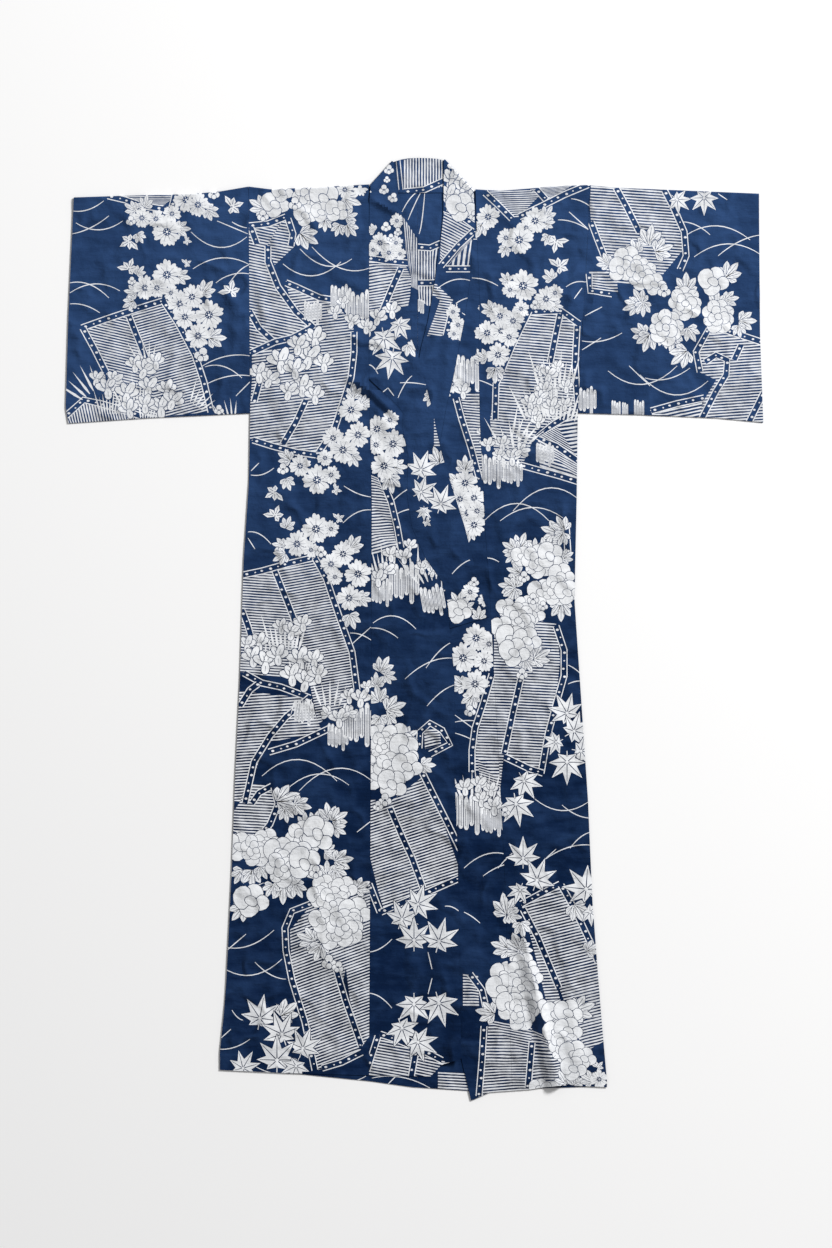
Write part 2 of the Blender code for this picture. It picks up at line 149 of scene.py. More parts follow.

# %% [markdown]
# ## Creases, placed one by one
#
# Cotton that has been folded and worn keeps soft ridges: at the armpits, across the lap and
# where the front edge lifts. A cloth simulation would make creases of its own, in other
# places. Each row below is one ridge instead: a line, the half width across it, and its
# height in millimetres at three places along it. The uneven lengths and directions are what
# keeps them from looking machine made.

# %% Ridges of each cloth
FOLDS = [
    ("cloth", "x0", "down0", "x1", "down1", "half", "start", "middle", "end"),
    ("left front", 18.6, 133.0, 26.2, 168.0, 2.2, 0.0, 6.5, 13.0),
    ("left front", 18.8, 131.5, 27.0, 168.0, 0.9, 1.0, 4.5, 4.0),
    ("left front", 13.4, 164.5, 21.9, 158.0, 1.8, 0.0, 4.0, 2.0),
    ("left front", 30.2, 13.0, 28.2, 27.0, 1.4, 0.0, 4.6, 0.8),
    ("left front", 21.5, 131.0, 30.5, 134.5, 1.7, 0.0, 2.6, 0.4),
    ("left front", 27.6, 139.0, 30.6, 165.0, 1.9, 0.0, 3.4, 1.0),
    ("left front", 16.4, 54.0, 16.0, 80.0, 0.6, 0.2, 0.9, 0.2),
    ("left front", 15.5, 20.5, 27.0, 18.0, 1.5, 0.0, 1.5, 0.5),
    ("left front", 17.0, 33.5, 25.5, 38.0, 1.4, 0.0, 1.6, 0.2),
    ("left front", 14.5, 60.0, 25.0, 53.5, 1.6, 0.0, 1.7, 0.0),
    ("left front", 17.0, 92.0, 28.0, 88.0, 1.7, 0.0, 1.8, 0.5),
    ("left front", 19.0, 117.0, 29.5, 124.0, 1.8, 0.0, 1.7, 0.3),
    ("left front", 9.0, 104.0, 12.5, 122.0, 1.4, 0.0, 1.5, 0.3),
    ("left front", 11.0, 127.5, 19.0, 134.0, 1.6, 0.0, 2.0, 0.4),
    ("right front", 8.6, 148.0, 8.6, 161.5, 4.5, 0.0, 0.0, 12.0),
    ("right front", -13.0, 35.0, -7.4, 38.4, 1.2, 1.0, 11.0, 5.0),
    ("right front", -8.0, 38.0, -2.4, 43.4, 1.2, 5.0, 7.0, 0.5),
    ("collar", -8.6, 2.2, -2.6, 5.4, 0.9, 1.0, 7.0, 0.5),
    ("right front", -14.5, 31.0, -9.5, 26.5, 1.4, 0.3, 2.6, 0.0),
    ("right front", -29.8, 14.5, -27.5, 25.0, 1.3, 0.4, 3.4, 0.2),
    ("right front", -9.0, 52.7, -14.5, 59.8, 1.3, 0.0, 5.5, 0.0),
    ("right front", -10.0, 53.0, -19.5, 60.3, 1.6, 0.0, 2.0, 0.0),
    ("right front", -27.5, 55.0, -20.5, 60.5, 1.6, 0.0, 2.2, 0.3),
    ("right front", -29.5, 20.0, -20.0, 16.0, 1.7, 0.6, 2.0, 0.0),
    ("right front", -28.5, 31.0, -17.0, 35.5, 1.8, 0.4, 1.8, 0.0),
    ("right front", -30.0, 72.0, -19.0, 67.0, 1.9, 0.3, 1.8, 0.0),
    ("right front", -24.0, 84.0, -12.0, 90.5, 1.8, 0.0, 1.6, 0.2),
    ("right front", -31.0, 101.0, -18.0, 97.0, 2.0, 0.3, 2.0, 0.0),
    ("right front", -5.5, 88.0, 3.0, 94.0, 1.6, 0.0, 1.5, 0.0),
    ("right front", -29.5, 118.0, -16.0, 124.5, 2.0, 0.0, 1.7, 0.3),
    ("right front", -6.0, 113.0, 4.5, 109.5, 1.7, 0.0, 1.4, 0.2),
    ("right front", -25.0, 141.0, -12.0, 137.0, 2.0, 0.2, 1.8, 0.0),
    ("right front", -31.5, 151.0, -24.0, 158.5, 1.9, 0.4, 2.0, 0.3),
    ("right front", -5.0, 141.0, 4.0, 147.5, 1.7, 0.0, 1.7, 0.5),
    ("right front", 0.6, 73.5, 6.4, 70.5, 1.1, 0.0, 2.0, 1.0),
    ("right front", -1.0, 82.5, 6.2, 82.0, 1.0, 0.0, 1.6, 0.6),
    ("right front", -6.0, 8.0, -4.2, 15.0, 0.9, 0.0, 3.4, 0.5),
    ("right front", -0.6, 43.5, 2.6, 52.0, 0.8, 0.0, 1.6, 0.4),
    ("right front", 4.0, 54.0, 7.5, 66.0, 0.9, 0.2, 1.8, 0.2),
    ("right sleeve", -37.0, 13.0, -32.0, 26.0, 1.6, 0.0, 5.0, 2.0),
    ("right sleeve", -60.0, 8.5, -50.0, 13.0, 1.8, 0.6, 1.9, 0.0),
    ("right sleeve", -53.0, 19.0, -43.0, 15.5, 1.7, 0.0, 1.7, 0.3),
    ("right sleeve", -61.0, 33.0, -52.5, 28.0, 1.9, 0.4, 1.9, 0.0),
    ("right sleeve", -47.0, 37.5, -35.0, 33.5, 1.8, 0.0, 1.8, 0.5),
    ("right sleeve", -40.5, 6.5, -33.0, 9.0, 1.5, 0.0, 1.8, 0.6),
    ("left sleeve", 34.5, 14.0, 31.8, 27.0, 1.5, 0.0, 6.5, 1.5),
    ("left sleeve", 34.3, 30.3, 41.7, 35.0, 1.8, 0.0, 3.0, 0.0),
    ("left sleeve", 58.5, 23.5, 64.4, 19.2, 1.8, 0.0, 3.0, 2.0),
    ("left sleeve", 45.5, 25.0, 54.5, 28.5, 1.7, 0.0, 2.0, 0.3),
    ("left sleeve", 38.0, 24.5, 46.5, 20.0, 1.6, 0.2, 1.8, 0.0),
    ("left sleeve", 50.0, 10.0, 60.5, 13.0, 1.7, 0.0, 1.9, 0.5),
    ("left sleeve", 36.0, 6.5, 45.0, 9.0, 1.5, 0.4, 1.7, 0.0),
    ("left sleeve", 53.0, 38.5, 62.0, 34.5, 1.8, 0.0, 1.9, 0.6),
]
print(len(FOLDS) - 1, "creases")

# %% [markdown]
# ## Heights of the layers
#
# The robe lies in layers: the back on the table, the wearer's left front on the back, and the
# right front on top. A layer bridges the edges of what lies under it instead of following
# them sharply, so the height of the top layer is the highest of the heights near by, lowered
# a little with distance. All of this is worked out for a whole grid of places at once, which
# numpy does as fast as a single one.

# %% Reading the tables and the heights
def column(table, name):
    """One column of a table, by its name in the first row."""
    place = table[0].index(name)
    return np.array([row[place] for row in table[1:]], dtype=float)


def read(table, at, by="down", want="x"):
    """Straight-line reading of one column against another."""
    return np.interp(at, column(table, by), column(table, want))


def folds(cloth, x, down):
    """Height that the soft ridges of one cloth add at each place."""
    total = np.zeros(np.broadcast(x, down).shape)
    for name, x0, down0, x1, down1, half, start, middle, end in FOLDS[1:]:
        if name != cloth:
            continue
        run, drop = x1 - x0, down1 - down0
        along = ((x - x0) * run + (down - down0) * drop) / (run * run + drop * drop)
        along = np.clip(along, 0.0, 1.0)
        away = np.hypot(x - x0 - run * along, down - down0 - drop * along) / half
        height = start + (end - start) * along + middle * np.sin(math.pi * along)
        total += height * MM * np.cos(np.clip(away, 0.0, 1.0) * math.pi / 2) ** 2
    return total


def left_front_middle(x, down):
    """Mid height of the wearer's left front and okumi, which lie on the back."""
    return WALL * 1.5 + LAYER_GAP + folds("left front", x, down)


def top_beneath_right(x, down):
    """Top of what lies under the wearer's right front: back, left front or left band."""
    banded = down <= BAND_LAST + 1.0
    edge = np.where(banded, read(LEFT_BAND, down, want="free"), read(LEFT_FRONT_EDGE, down))
    seam = np.where(banded, read(LEFT_BAND, down, want="seam"), edge)
    front = left_front_middle(x, down) + WALL / 2
    top = np.where(x < seam, WALL + LAYER_GAP + BAND, front)
    return np.where((x < edge) | (down < NECK_DOWN), WALL, top)


def draped_top(x, down):
    """Top of the layers beneath, spread as a cloth bridges their edges."""
    best = top_beneath_right(x, down)
    for distance, fall in ((2.0, 0.0), (4.0, 0.5), (6.0, 1.2), (8.0, 2.0)):
        for step in range(8):
            angle = 2 * math.pi * step / 8
            near = top_beneath_right(x + distance * math.cos(angle),
                                     down + distance * math.sin(angle))
            best = np.maximum(best, near - fall * MM)
    return best


def right_front_middle(x, down):
    """Mid height of the wearer's right front and okumi, on top of all the rest."""
    return draped_top(x, down) + LAYER_GAP + WALL / 2 + folds("right front", x, down)


def settled(height, down, top_line, raised):
    """Height near a fold line, where the cloth comes down from the fold's top."""
    near = np.clip(1.0 - (down - top_line) / 6.0, 0.0, None) ** 2
    return np.maximum(height, height + (raised - height) * near)


def placed(x, down, height):
    """Places of the tables as points in metres, one row of three numbers each."""
    x, down, height = np.broadcast_arrays(x, down, height)
    return np.stack([x * CM, SHOULDER_ABOVE_CENTRE - down * CM, height], axis=-1)


def hem_row(down, hem, x):
    """Rows keep their place down to the stretch above the hem, which follows the hem."""
    part = (down - HEM_STRETCH_FROM) / (LAST_ROW - HEM_STRETCH_FROM)
    low = HEM_STRETCH_FROM + (read(hem, x, by="x", want="down") - HEM_STRETCH_FROM) * part
    return np.where(down <= HEM_STRETCH_FROM, down, low)


print("lap height in mm:", round(float(right_front_middle(0.0, 60.0)) / MM, 2))

# %% [markdown]
# ## A wall of cloth
#
# A woven panel is a grid, so each one is built as rows of points. A plane could be subdivided
# and pushed about instead, but rows that follow the cut keep the mesh even and let a row be
# found again later by its number, which the print needs. Solidify then gives the cloth its
# thickness on both sides of the grid, and Triangulate fixes the facets, so that a pattern
# laid on them later sits exactly on them.

# %% Building a panel from rows of points
EDGE_STEPS = (0.0, 0.010, 0.022)
CREASE_ANGLE = math.radians(50)
cloths = {}


def evenly(count):
    """Shares from 0 to 1, with two close steps at each end that round a sewn edge."""
    inner = np.linspace(0.05, 0.95, count - 3)
    ends = np.array(EDGE_STEPS)
    return np.concatenate([ends, inner, 1.0 - ends[::-1]])


def active_only(piece):
    """Deselect everything, then select one piece for the operators."""
    bpy.ops.object.select_all(action="DESELECT")
    piece.select_set(True)
    bpy.context.view_layer.objects.active = piece


def cloth(name, grid, thickness, closed=False, cut=None):
    """A wall of cloth on a grid of points, rows by steps."""
    rows, steps = grid.shape[0] - 1, grid.shape[1] - 1
    number = np.arange((rows + 1) * (steps + 1)).reshape(rows + 1, steps + 1)
    if closed:
        number[:, -1] = number[:, 0]
    faces = []
    for row in range(rows):
        for step in range(steps):
            if cut is None or not cut(row, step):
                a, b = number[row, step], number[row, step + 1]
                c, d = number[row + 1, step + 1], number[row + 1, step]
                faces.append((int(a), int(b), int(c), int(d)))
    used = sorted({corner for face in faces for corner in face})
    renumber = {old: new for new, old in enumerate(used)}
    points = grid.reshape(-1, 3)[used]
    mesh = bpy.data.meshes.new(name)
    mesh.from_pydata(points.tolist(), [], [[renumber[c] for c in face] for face in faces])
    row_of = (np.array(used) // (steps + 1)).astype(np.int32)
    mesh.attributes.new("row", "INT", "POINT").data.foreach_set("value", row_of)
    piece = bpy.data.objects.new("cloth_" + name, mesh)
    bpy.context.scene.collection.objects.link(piece)
    mesh.shade_smooth()
    active_only(piece)
    wall = piece.modifiers.new("wall", "SOLIDIFY")
    wall.thickness = thickness
    wall.offset = 0.0
    wall.use_even_offset = True
    bpy.ops.object.modifier_apply(modifier="wall")
    facets = piece.modifiers.new("facets", "TRIANGULATE")
    facets.quad_method = "FIXED"
    bpy.ops.object.modifier_apply(modifier="facets")
    piece.data.set_sharp_from_angle(angle=CREASE_ANGLE)
    cloths[name] = {"piece": piece, "one_side": len(used)}
    print(name, "has", len(piece.data.polygons), "triangles")
    return piece

# %% [markdown]
# ## The two body panels
#
# One length of cotton runs from the back hem over the shoulder to the front hem, with a slit
# in the middle for the neck. The back lies flat on the table and needs few rows; the shoulder
# is a small round fold; the front has a row every 7 mm, fine enough for soft creases.

# %% Body panels
BACK_ROWS = 24
FOLD_ROWS = 8
FRONT_ROWS = 240
NECK_STEPS = 10
BODY_STEPS = 38
OKUMI_STEPS = 20


def body_panel(name, side, seam, front_hem, middle, hand):
    """One length of cloth from the back hem over the shoulder to the front hem."""
    gap = hand * SEAM_GAP / CM / 2
    centre = CENTRE_BACK + gap
    radius = SHOULDER_RADIUS / CM
    shares = evenly(BODY_STEPS)

    def across(down, inner):
        neck = centre + (inner - centre) * np.arange(NECK_STEPS) / NECK_STEPS
        outer = read(side, down) - gap
        return np.concatenate([neck, inner + (outer - inner) * shares])

    neck_edge = float(read(seam, 0.0)) + gap
    rows = []
    for down in np.linspace(LAST_ROW, LAST_ROW / BACK_ROWS, BACK_ROWS):
        x = across(down, neck_edge)
        rows.append(placed(x, hem_row(down, BACK_HEM, x), WALL / 2))
    side_line = float(read(SHOULDER_LINE, read(side, 0.0), by="x", want="down"))
    for turn in np.linspace(-math.pi / 2, math.pi / 2, FOLD_ROWS + 1):
        x = across(side_line + radius * (1 - math.cos(turn)), neck_edge)
        down = read(SHOULDER_LINE, x, by="x", want="down") + radius * (1 - math.cos(turn))
        down[:NECK_STEPS] = NECK_DOWN
        rows.append(placed(x, down, WALL / 2 + SHOULDER_RADIUS * (1 + math.sin(turn))))
    fold_top = WALL / 2 + 2 * SHOULDER_RADIUS
    for row in range(1, FRONT_ROWS + 1):
        level = row * LAST_ROW / FRONT_ROWS
        x = across(level, float(read(seam, level)) + gap)
        line = read(SHOULDER_LINE, x, by="x", want="down")
        down = np.maximum(hem_row(level, front_hem, x), line + radius + 0.1)
        rows.append(placed(x, down, settled(middle(x, down), down, line, fold_top)))
    return cloth(name, np.array(rows), WALL,
                 cut=lambda row, step: row >= BACK_ROWS and step < NECK_STEPS)


right_body = body_panel("right_body", RIGHT_SIDE, RIGHT_FRONT_SEAM, RIGHT_FRONT_HEM,
                        right_front_middle, -1)
left_body = body_panel("left_body", LEFT_SIDE, LEFT_FRONT_SEAM, LEFT_FRONT_HEM,
                       left_front_middle, 1)

# %% [markdown]
# ## The overlap panels
#
# An okumi is a narrow strip between the front's seam and the collar, and below the collar its
# own hemmed edge is the front edge of the robe. It shares the height of the front beside it.

# %% Okumi
def right_okumi_edge(down):
    """The right okumi ends at the collar seam, and below the collar at its own edge."""
    return read(RIGHT_BAND if down <= BAND_LAST else RIGHT_FRONT_EDGE, down,
                want="seam" if down <= BAND_LAST else "x")


def left_okumi_edge(down):
    """The left okumi ends at the collar seam, and below the collar at its own edge."""
    return read(LEFT_BAND if down <= BAND_LAST else LEFT_FRONT_EDGE, down,
                want="seam" if down <= BAND_LAST else "x")


def okumi(name, top, seam, edge, hem, middle, hand):
    """The narrow overlap panel between a front's seam and its collar and front edge."""
    gap = hand * SEAM_GAP / CM / 2
    shares = evenly(OKUMI_STEPS)
    rows = []
    for down in np.linspace(top, LAST_ROW, round((LAST_ROW - top) / 0.7) + 1):
        start, end = float(read(seam, down)) - gap, float(edge(down)) + gap
        x = start + (end - start) * shares
        low = hem_row(down, hem, x)
        rows.append(placed(x, low, middle(x, low)))
    return cloth(name, np.array(rows), WALL)


right_okumi = okumi("right_okumi", 37.8, RIGHT_FRONT_SEAM, right_okumi_edge,
                    RIGHT_FRONT_HEM, right_front_middle, -1)
left_okumi = okumi("left_okumi", BAND_TOP, LEFT_FRONT_SEAM, left_okumi_edge,
                   LEFT_FRONT_HEM, left_front_middle, 1)

# %% [markdown]
# ## Sleeves
#
# A sleeve is a flattened tube: one piece of cloth folded along its top, seamed along its
# bottom and open at the cuff. Each ring of points goes round the tube once, and the last
# point joins the first, so that the wall is closed all round.

# %% Sleeves
SLEEVE_RINGS = 50
SLEEVE_FRONT = 62


def sleeve(name, cloth_name, armhole, cuff, top, bottom, hand):
    """A flattened tube of cloth between the armhole and the cuff."""
    gap = hand * SEAM_GAP / CM / 2
    base = WALL / 2
    fold_height = base + 2 * SLEEVE_FOLD_RADIUS
    top_radius, low_radius = SLEEVE_FOLD_RADIUS / CM, SLEEVE_SEAM_RADIUS / CM
    back = np.arange(8) / 8
    front = np.arange(SLEEVE_FRONT) / SLEEVE_FRONT
    turn_up = math.pi * (np.arange(6) / 6 - 0.5)
    turn_down = math.pi * (0.5 - np.arange(7) / 6)
    rings = []
    for along in evenly(SLEEVE_RINGS):
        reach = float(read(armhole, 0.0)) * (1 - along) + float(read(cuff, 0.0)) * along
        upper = float(read(top, reach, by="x", want="down"))
        lower = float(read(bottom, reach, by="x", want="down"))
        high, low = upper + top_radius, lower - low_radius
        down = np.concatenate([low + (high - low) * back,
                               upper + top_radius * (1 - np.cos(turn_up)),
                               high + (low - high) * front,
                               low + low_radius * np.cos(turn_down)])
        x = (read(armhole, down) + gap) * (1 - along) + read(cuff, down) * along
        face = slice(14, 14 + SLEEVE_FRONT)
        lay = settled(base + 2 * SLEEVE_SEAM_RADIUS, down[face], upper, fold_height)
        ease = np.clip((low - down[face]) / 1.5, 0.0, 1.0)
        height = np.concatenate([
            np.full(8, base), base + SLEEVE_FOLD_RADIUS * (1 + np.sin(turn_up)),
            lay + folds(cloth_name, x[face], down[face]) * ease,
            base + SLEEVE_SEAM_RADIUS * (1 + np.sin(turn_down))])
        rings.append(placed(x, down, height))
    return cloth(name, np.array(rings), WALL, closed=True)


right_sleeve = sleeve("right_sleeve", "right sleeve", RIGHT_SIDE, RIGHT_CUFF,
                      RIGHT_SLEEVE_TOP, RIGHT_SLEEVE_BOTTOM, -1)
left_sleeve = sleeve("left_sleeve", "left sleeve", LEFT_SIDE, LEFT_CUFF,
                     LEFT_SLEEVE_TOP, LEFT_SLEEVE_BOTTOM, 1)

# %% [markdown]
# ## The collar band
#
# The collar is one long doubled strip. It comes up the right front on top of everything,
# turns under at the side of the neck, runs along the back with its inner side up, turns over
# again and goes down the left front, where the right front covers it. Each turn is a half
# circle about a line, so the band stays one unbroken sheet.

# %% Collar
BAND_ACROSS = 12
NECK_FOLD_RADIUS = 0.0022
NECK_FOLD_LOW = 0.0024
# seam x, seam down, free x, free down, then the heights at the seam and at the free edge
NECK_ON_RIGHT = [
    (-8.36, 7.0, -2.15, 7.0, 3.0, 3.2),
    (-8.33, 5.0, -2.3, 5.0, 3.0, 3.2),
    (-8.30, 2.4, -3.0, 1.6, 4.4, 5.0),
]
NECK_AT_BACK = [
    (-6.00, 1.20, -2.5, -4.85, 2.6, 2.4),
    (-3.60, 1.25, -1.2, -5.05, 2.3, 3.2),
    (0.60, 1.30, 0.6, -5.15, 2.2, 4.2),
    (4.70, 1.25, 2.7, -5.1, 2.2, 3.6),
    (8.20, 1.20, 4.2, -5.0, 2.4, 2.6),
]
NECK_ON_LEFT = [
    (11.10, 3.4, 5.4, 1.2, 4.4, 5.0),
    (11.13, 6.0, 5.35, 4.8, 3.0, 3.2),
]
band_rows = []


def band_row(seam, free, height):
    """One row across the band, from its seam to its free edge."""
    part = np.linspace(0.0, 1.0, BAND_ACROSS + 1)
    x = seam[0] + (free[0] - seam[0]) * part
    down = seam[1] + (free[1] - seam[1]) * part
    band_rows.append(placed(x, down, height(x, down, part)))


def band_stretch(table):
    """Rows through a short table, with five more between each pair."""
    points = np.array(table)
    for place in np.linspace(0, len(points) - 1, 6 * (len(points) - 1) + 1):
        seam_x, seam_down, free_x, free_down, seam_z, free_z = (
            np.interp(place, range(len(points)), points[:, k]) for k in range(6))
        band_row((seam_x, seam_down), (free_x, free_down),
                 lambda x, down, part: (seam_z + (free_z - seam_z) * part) * MM
                 + folds("collar", x, down))


def neck_turn(seam, free, hand, turns):
    """A half turn of the band about the line from seam to free edge."""
    length = math.hypot(free[0] - seam[0], free[1] - seam[1])
    away = ((free[1] - seam[1]) / length * -hand, (free[0] - seam[0]) / length * hand)
    for turn in turns:
        bulge = NECK_FOLD_RADIUS / CM * math.cos(turn)
        shift = (away[0] * bulge, away[1] * bulge)
        band_row((seam[0] + shift[0], seam[1] + shift[1]),
                 (free[0] + shift[0], free[1] + shift[1]),
                 lambda x, down, part: NECK_FOLD_LOW + NECK_FOLD_RADIUS * (1 + math.sin(turn)))


def band_on_right(x, down, part):
    """Mid height of the band on the right front."""
    creases = folds("right front", x, down) + folds("collar", x, down)
    return draped_top(x, down) + LAYER_GAP + BAND / 2 + creases


half_gap = SEAM_GAP / CM / 2
front_downs = np.arange(BAND_TOP, BAND_LAST + 0.1, 0.7)
rising = np.linspace(-math.pi / 2, math.pi / 2, 9)
band_row((6.55 + half_gap, 81.8), (13.8, 79.7), band_on_right)
band_row((6.40 + half_gap, 80.0), (13.4, 78.5), band_on_right)
band_row((6.25 + half_gap, 78.2), (13.0, 77.3), band_on_right)
for level in front_downs[front_downs < 76.5][::-1]:
    band_row((read(RIGHT_BAND, level, want="seam") + half_gap, level),
             (read(RIGHT_BAND, level, want="free"), level), band_on_right)
band_stretch(NECK_ON_RIGHT)
neck_turn((-8.10, 0.15), (-3.95, -4.40), -1, rising[::-1])
back_from = len(band_rows)
band_stretch(NECK_AT_BACK)
back_to = len(band_rows)
neck_turn((10.90, 1.15), (5.40, -4.70), 1, rising)
band_stretch(NECK_ON_LEFT)
for level in front_downs:
    band_row((read(LEFT_BAND, level, want="seam") - half_gap, level),
             (read(LEFT_BAND, level, want="free"), level),
             lambda x, down, part: WALL + LAYER_GAP + BAND / 2)
collar = cloth("collar", np.array(band_rows), BAND)

# %% [markdown]
# ## Shader maths as plain arithmetic
#
# A material's pattern is a chain of small Math nodes. Wired by hand that soon becomes hard to
# read, so one small class wraps a socket and turns + - * / into Math nodes. Every other node
# comes from a single method that takes its type, its settings and its inputs.

# %% A wrapped socket
class Socket:
    """An output of a node, on which arithmetic adds Math nodes."""

    def __init__(self, material, output):
        self.material, self.output = material, output

    def maths(self, operation, *values):
        return self.material.node("ShaderNodeMath", {"operation": operation}, values)

    def __add__(self, other):
        return self.maths("ADD", self, other)

    def __radd__(self, other):
        return self.maths("ADD", other, self)

    def __sub__(self, other):
        return self.maths("SUBTRACT", self, other)

    def __rsub__(self, other):
        return self.maths("SUBTRACT", other, self)

    def __mul__(self, other):
        return self.maths("MULTIPLY", self, other)

    def __rmul__(self, other):
        return self.maths("MULTIPLY", other, self)

    def __truediv__(self, other):
        return self.maths("DIVIDE", self, other)

    def away_from(self, middle):
        """Distance from a value, never negative."""
        return self.maths("ABSOLUTE", self - middle)

    def wave(self):
        return self.maths("SINE", self)

    def between(self, low, high):
        """0 below low, 1 above high and a smooth step between."""
        return self.material.node("ShaderNodeMapRange", {"interpolation_type": "SMOOTHSTEP"},
                                  {"Value": self, "From Min": low, "From Max": high})


class Finish:
    """One material, with a method that adds nodes to it."""

    def __init__(self, name):
        self.made = bpy.data.materials.new(name)
        self.made.use_nodes = True
        self.tree = self.made.node_tree
        self.shader = self.tree.nodes["Principled BSDF"]

    def node(self, kind, settings, values, output=0):
        node = self.tree.nodes.new(kind)
        for name, value in settings.items():
            setattr(node, name, value)
        named = values.items() if isinstance(values, dict) else enumerate(values)
        for name, value in named:
            self.feed(node.inputs[name], value)
        return Socket(self, node.outputs[output])

    def feed(self, slot, value):
        if isinstance(value, Socket):
            self.tree.links.new(value.output, slot)
        else:
            slot.default_value = value

    def noise(self, place, scale, detail=3.0, roughness=0.5):
        return self.node("ShaderNodeTexNoise", {}, {"Vector": place, "Scale": scale,
                                                    "Detail": detail, "Roughness": roughness})

    def mixed(self, part, low, high):
        """A colour that goes from low to high as part goes from 0 to 1."""
        node = self.node("ShaderNodeMix", {"data_type": "RGBA"}, {}, output=2)
        sockets = node.output.node.inputs
        for slot, value in zip((sockets[0], sockets[6], sockets[7]), (part, low, high)):
            self.feed(slot, value)
        return node


# %% [markdown]
# ## Yukata cotton
#
# The cloth is a matte plain weave: threads about 0.6 mm apart pass over and under each other.
# A photograph of woven cloth could be tiled over it, but two sine waves and some noise give a
# weave that never repeats and needs no picture. The threads only bump the surface. The dye is
# a deep indigo that has faded unevenly, a little lighter where the cloth was rubbed. Towards
# the shoulders it is also painted lighter: painted light that stands in for the lamp falling
# stronger on the upper part, on top of the cloth's own lighter upper part. The print reads
# the same material: an attribute called ink says whether a place is dyed, white or striped,
# and an attribute called phase counts the stripes across a screen.

# %% The printed cotton
INDIGO = (0.0010, 0.0105, 0.043, 1.0)
# the lighter indigo of faded cloth, also used for painted light towards the shoulders
FADED_AND_LIT_INDIGO = (0.0223, 0.0581, 0.156, 1.0)
UNDYED = (0.76, 0.775, 0.80, 1.0)
GREYED = (0.60, 0.62, 0.66, 1.0)
THREAD = 0.0007


def printed_cotton(name):
    """Matte woven cotton, dyed, white or striped as the ink attribute says."""
    cotton = Finish(name)
    place = cotton.node("ShaderNodeTexCoord", {}, {}, output=3)
    x, y = (cotton.node("ShaderNodeSeparateXYZ", {}, [place], output=k) for k in (0, 1))
    ink = cotton.node("ShaderNodeAttribute", {"attribute_name": "ink"}, {}, output=2)
    phase = cotton.node("ShaderNodeAttribute", {"attribute_name": "phase"}, {}, output=2)
    fade = cotton.noise(place, 3.5, 4.0, 0.6).between(0.38, 0.68)
    cloudy = cotton.noise(place, 38.0, 3.0, 0.6).between(0.30, 0.75)
    slub = cotton.noise(place, 420.0, 2.0, 0.7)
    longer = cotton.node("ShaderNodeVectorMath", {"operation": "MULTIPLY"},
                         [place, (1.0, 4.5, 1.0)])
    streaks = cotton.noise(longer, 13.0, 4.0, 0.6)
    sharp = 1.0 - cotton.noise(place, 9.0, 2.0, 0.55).away_from(0.5) * 2.0
    wobble = (cotton.noise(place, 70.0, 2.0, 0.5) - 0.5) * 0.45
    wave = (phase * (2 * math.pi) + wobble * 2.2).wave()
    stripe = (wave + (cloudy - 0.5) * 0.9).between(-0.42, 0.38)
    striped = (ink - 1.5).between(0.0, 0.02)
    solid = (ink - 0.5).between(0.0, 0.02)
    white = solid * (1.0 - striped) + striped * stripe
    # painted light: the first term makes the dyed cotton lighter towards the shoulders; the noise
    # terms are the cloth's own uneven fading
    fading_and_painted_light = (y.between(-0.30, 0.80) * 0.64 + fade * 0.22 + slub * 0.26 + cloudy * 0.18
            + streaks.between(0.30, 0.70) * 0.22 + sharp.between(0.78, 1.0) * 0.14 - 0.30)
    dyed = cotton.mixed(fading_and_painted_light, INDIGO, FADED_AND_LIT_INDIGO)
    bare = cotton.mixed(cloudy * 0.45 + striped * 0.25, UNDYED, GREYED)
    cotton.feed(cotton.shader.inputs["Base Color"], cotton.mixed(white, dyed, bare))
    cotton.feed(cotton.shader.inputs["Roughness"], 0.78 + slub * 0.16)
    cotton.shader.inputs["Sheen Weight"].default_value = 0.02
    cotton.shader.inputs["Sheen Roughness"].default_value = 0.5
    cotton.shader.inputs["Specular IOR Level"].default_value = 0.08
    warp = (x * (2 * math.pi / THREAD)).wave()
    weft = (y * (2 * math.pi / THREAD)).wave()
    crumple = cotton.noise(place, 21.0, 4.0, 0.55)
    rumple = cotton.noise(place, 6.5, 2.0, 0.5)
    woven = cotton.node("ShaderNodeBump", {}, {"Height": warp * weft + slub * 1.2,
                                               "Strength": 0.35, "Distance": 0.00012})
    creased = cotton.node("ShaderNodeBump", {}, {
        "Height": crumple * 0.34 + rumple * 1.2 + streaks * 0.12 + sharp.between(0.80, 1.0) * 0.17,
        "Strength": 1.0, "Distance": 0.020, "Normal": woven})
    cotton.feed(cotton.shader.inputs["Normal"], creased)
    return cotton.made


yukata_cotton = printed_cotton("yukata cotton")
collar_cotton = printed_cotton("collar cotton")
for name, made in cloths.items():
    made["piece"].data.materials.append(collar_cotton if name == "collar" else yukata_cotton)
print("nodes in the cotton:", len(yukata_cotton.node_tree.nodes))

# %% [markdown]
# ## The print, and how it is laid on the cloth
#
# Yukata cotton is dyed through a paste resist, so its pattern is flat shapes in white on
# indigo. A picture of the pattern could be wrapped round the robe, but a picture blurs up
# close and belongs to one garment. Here each petal, leaf and stripe is a small shape with a
# few corners. It is cut by the facets of the cloth under it, the way a paper shape would be
# cut along every fold, so each bit lies exactly on its facet. A bit carries two attributes,
# ink and phase, that the cotton reads.

# %% The sides of a cloth
UNIT = 0.00185
DRAWING_MIDDLE = (414.5, 629.0)
LIFT = 0.000008
DYED, WHITE, STRIPED = 0.0, 1.0, 2.0


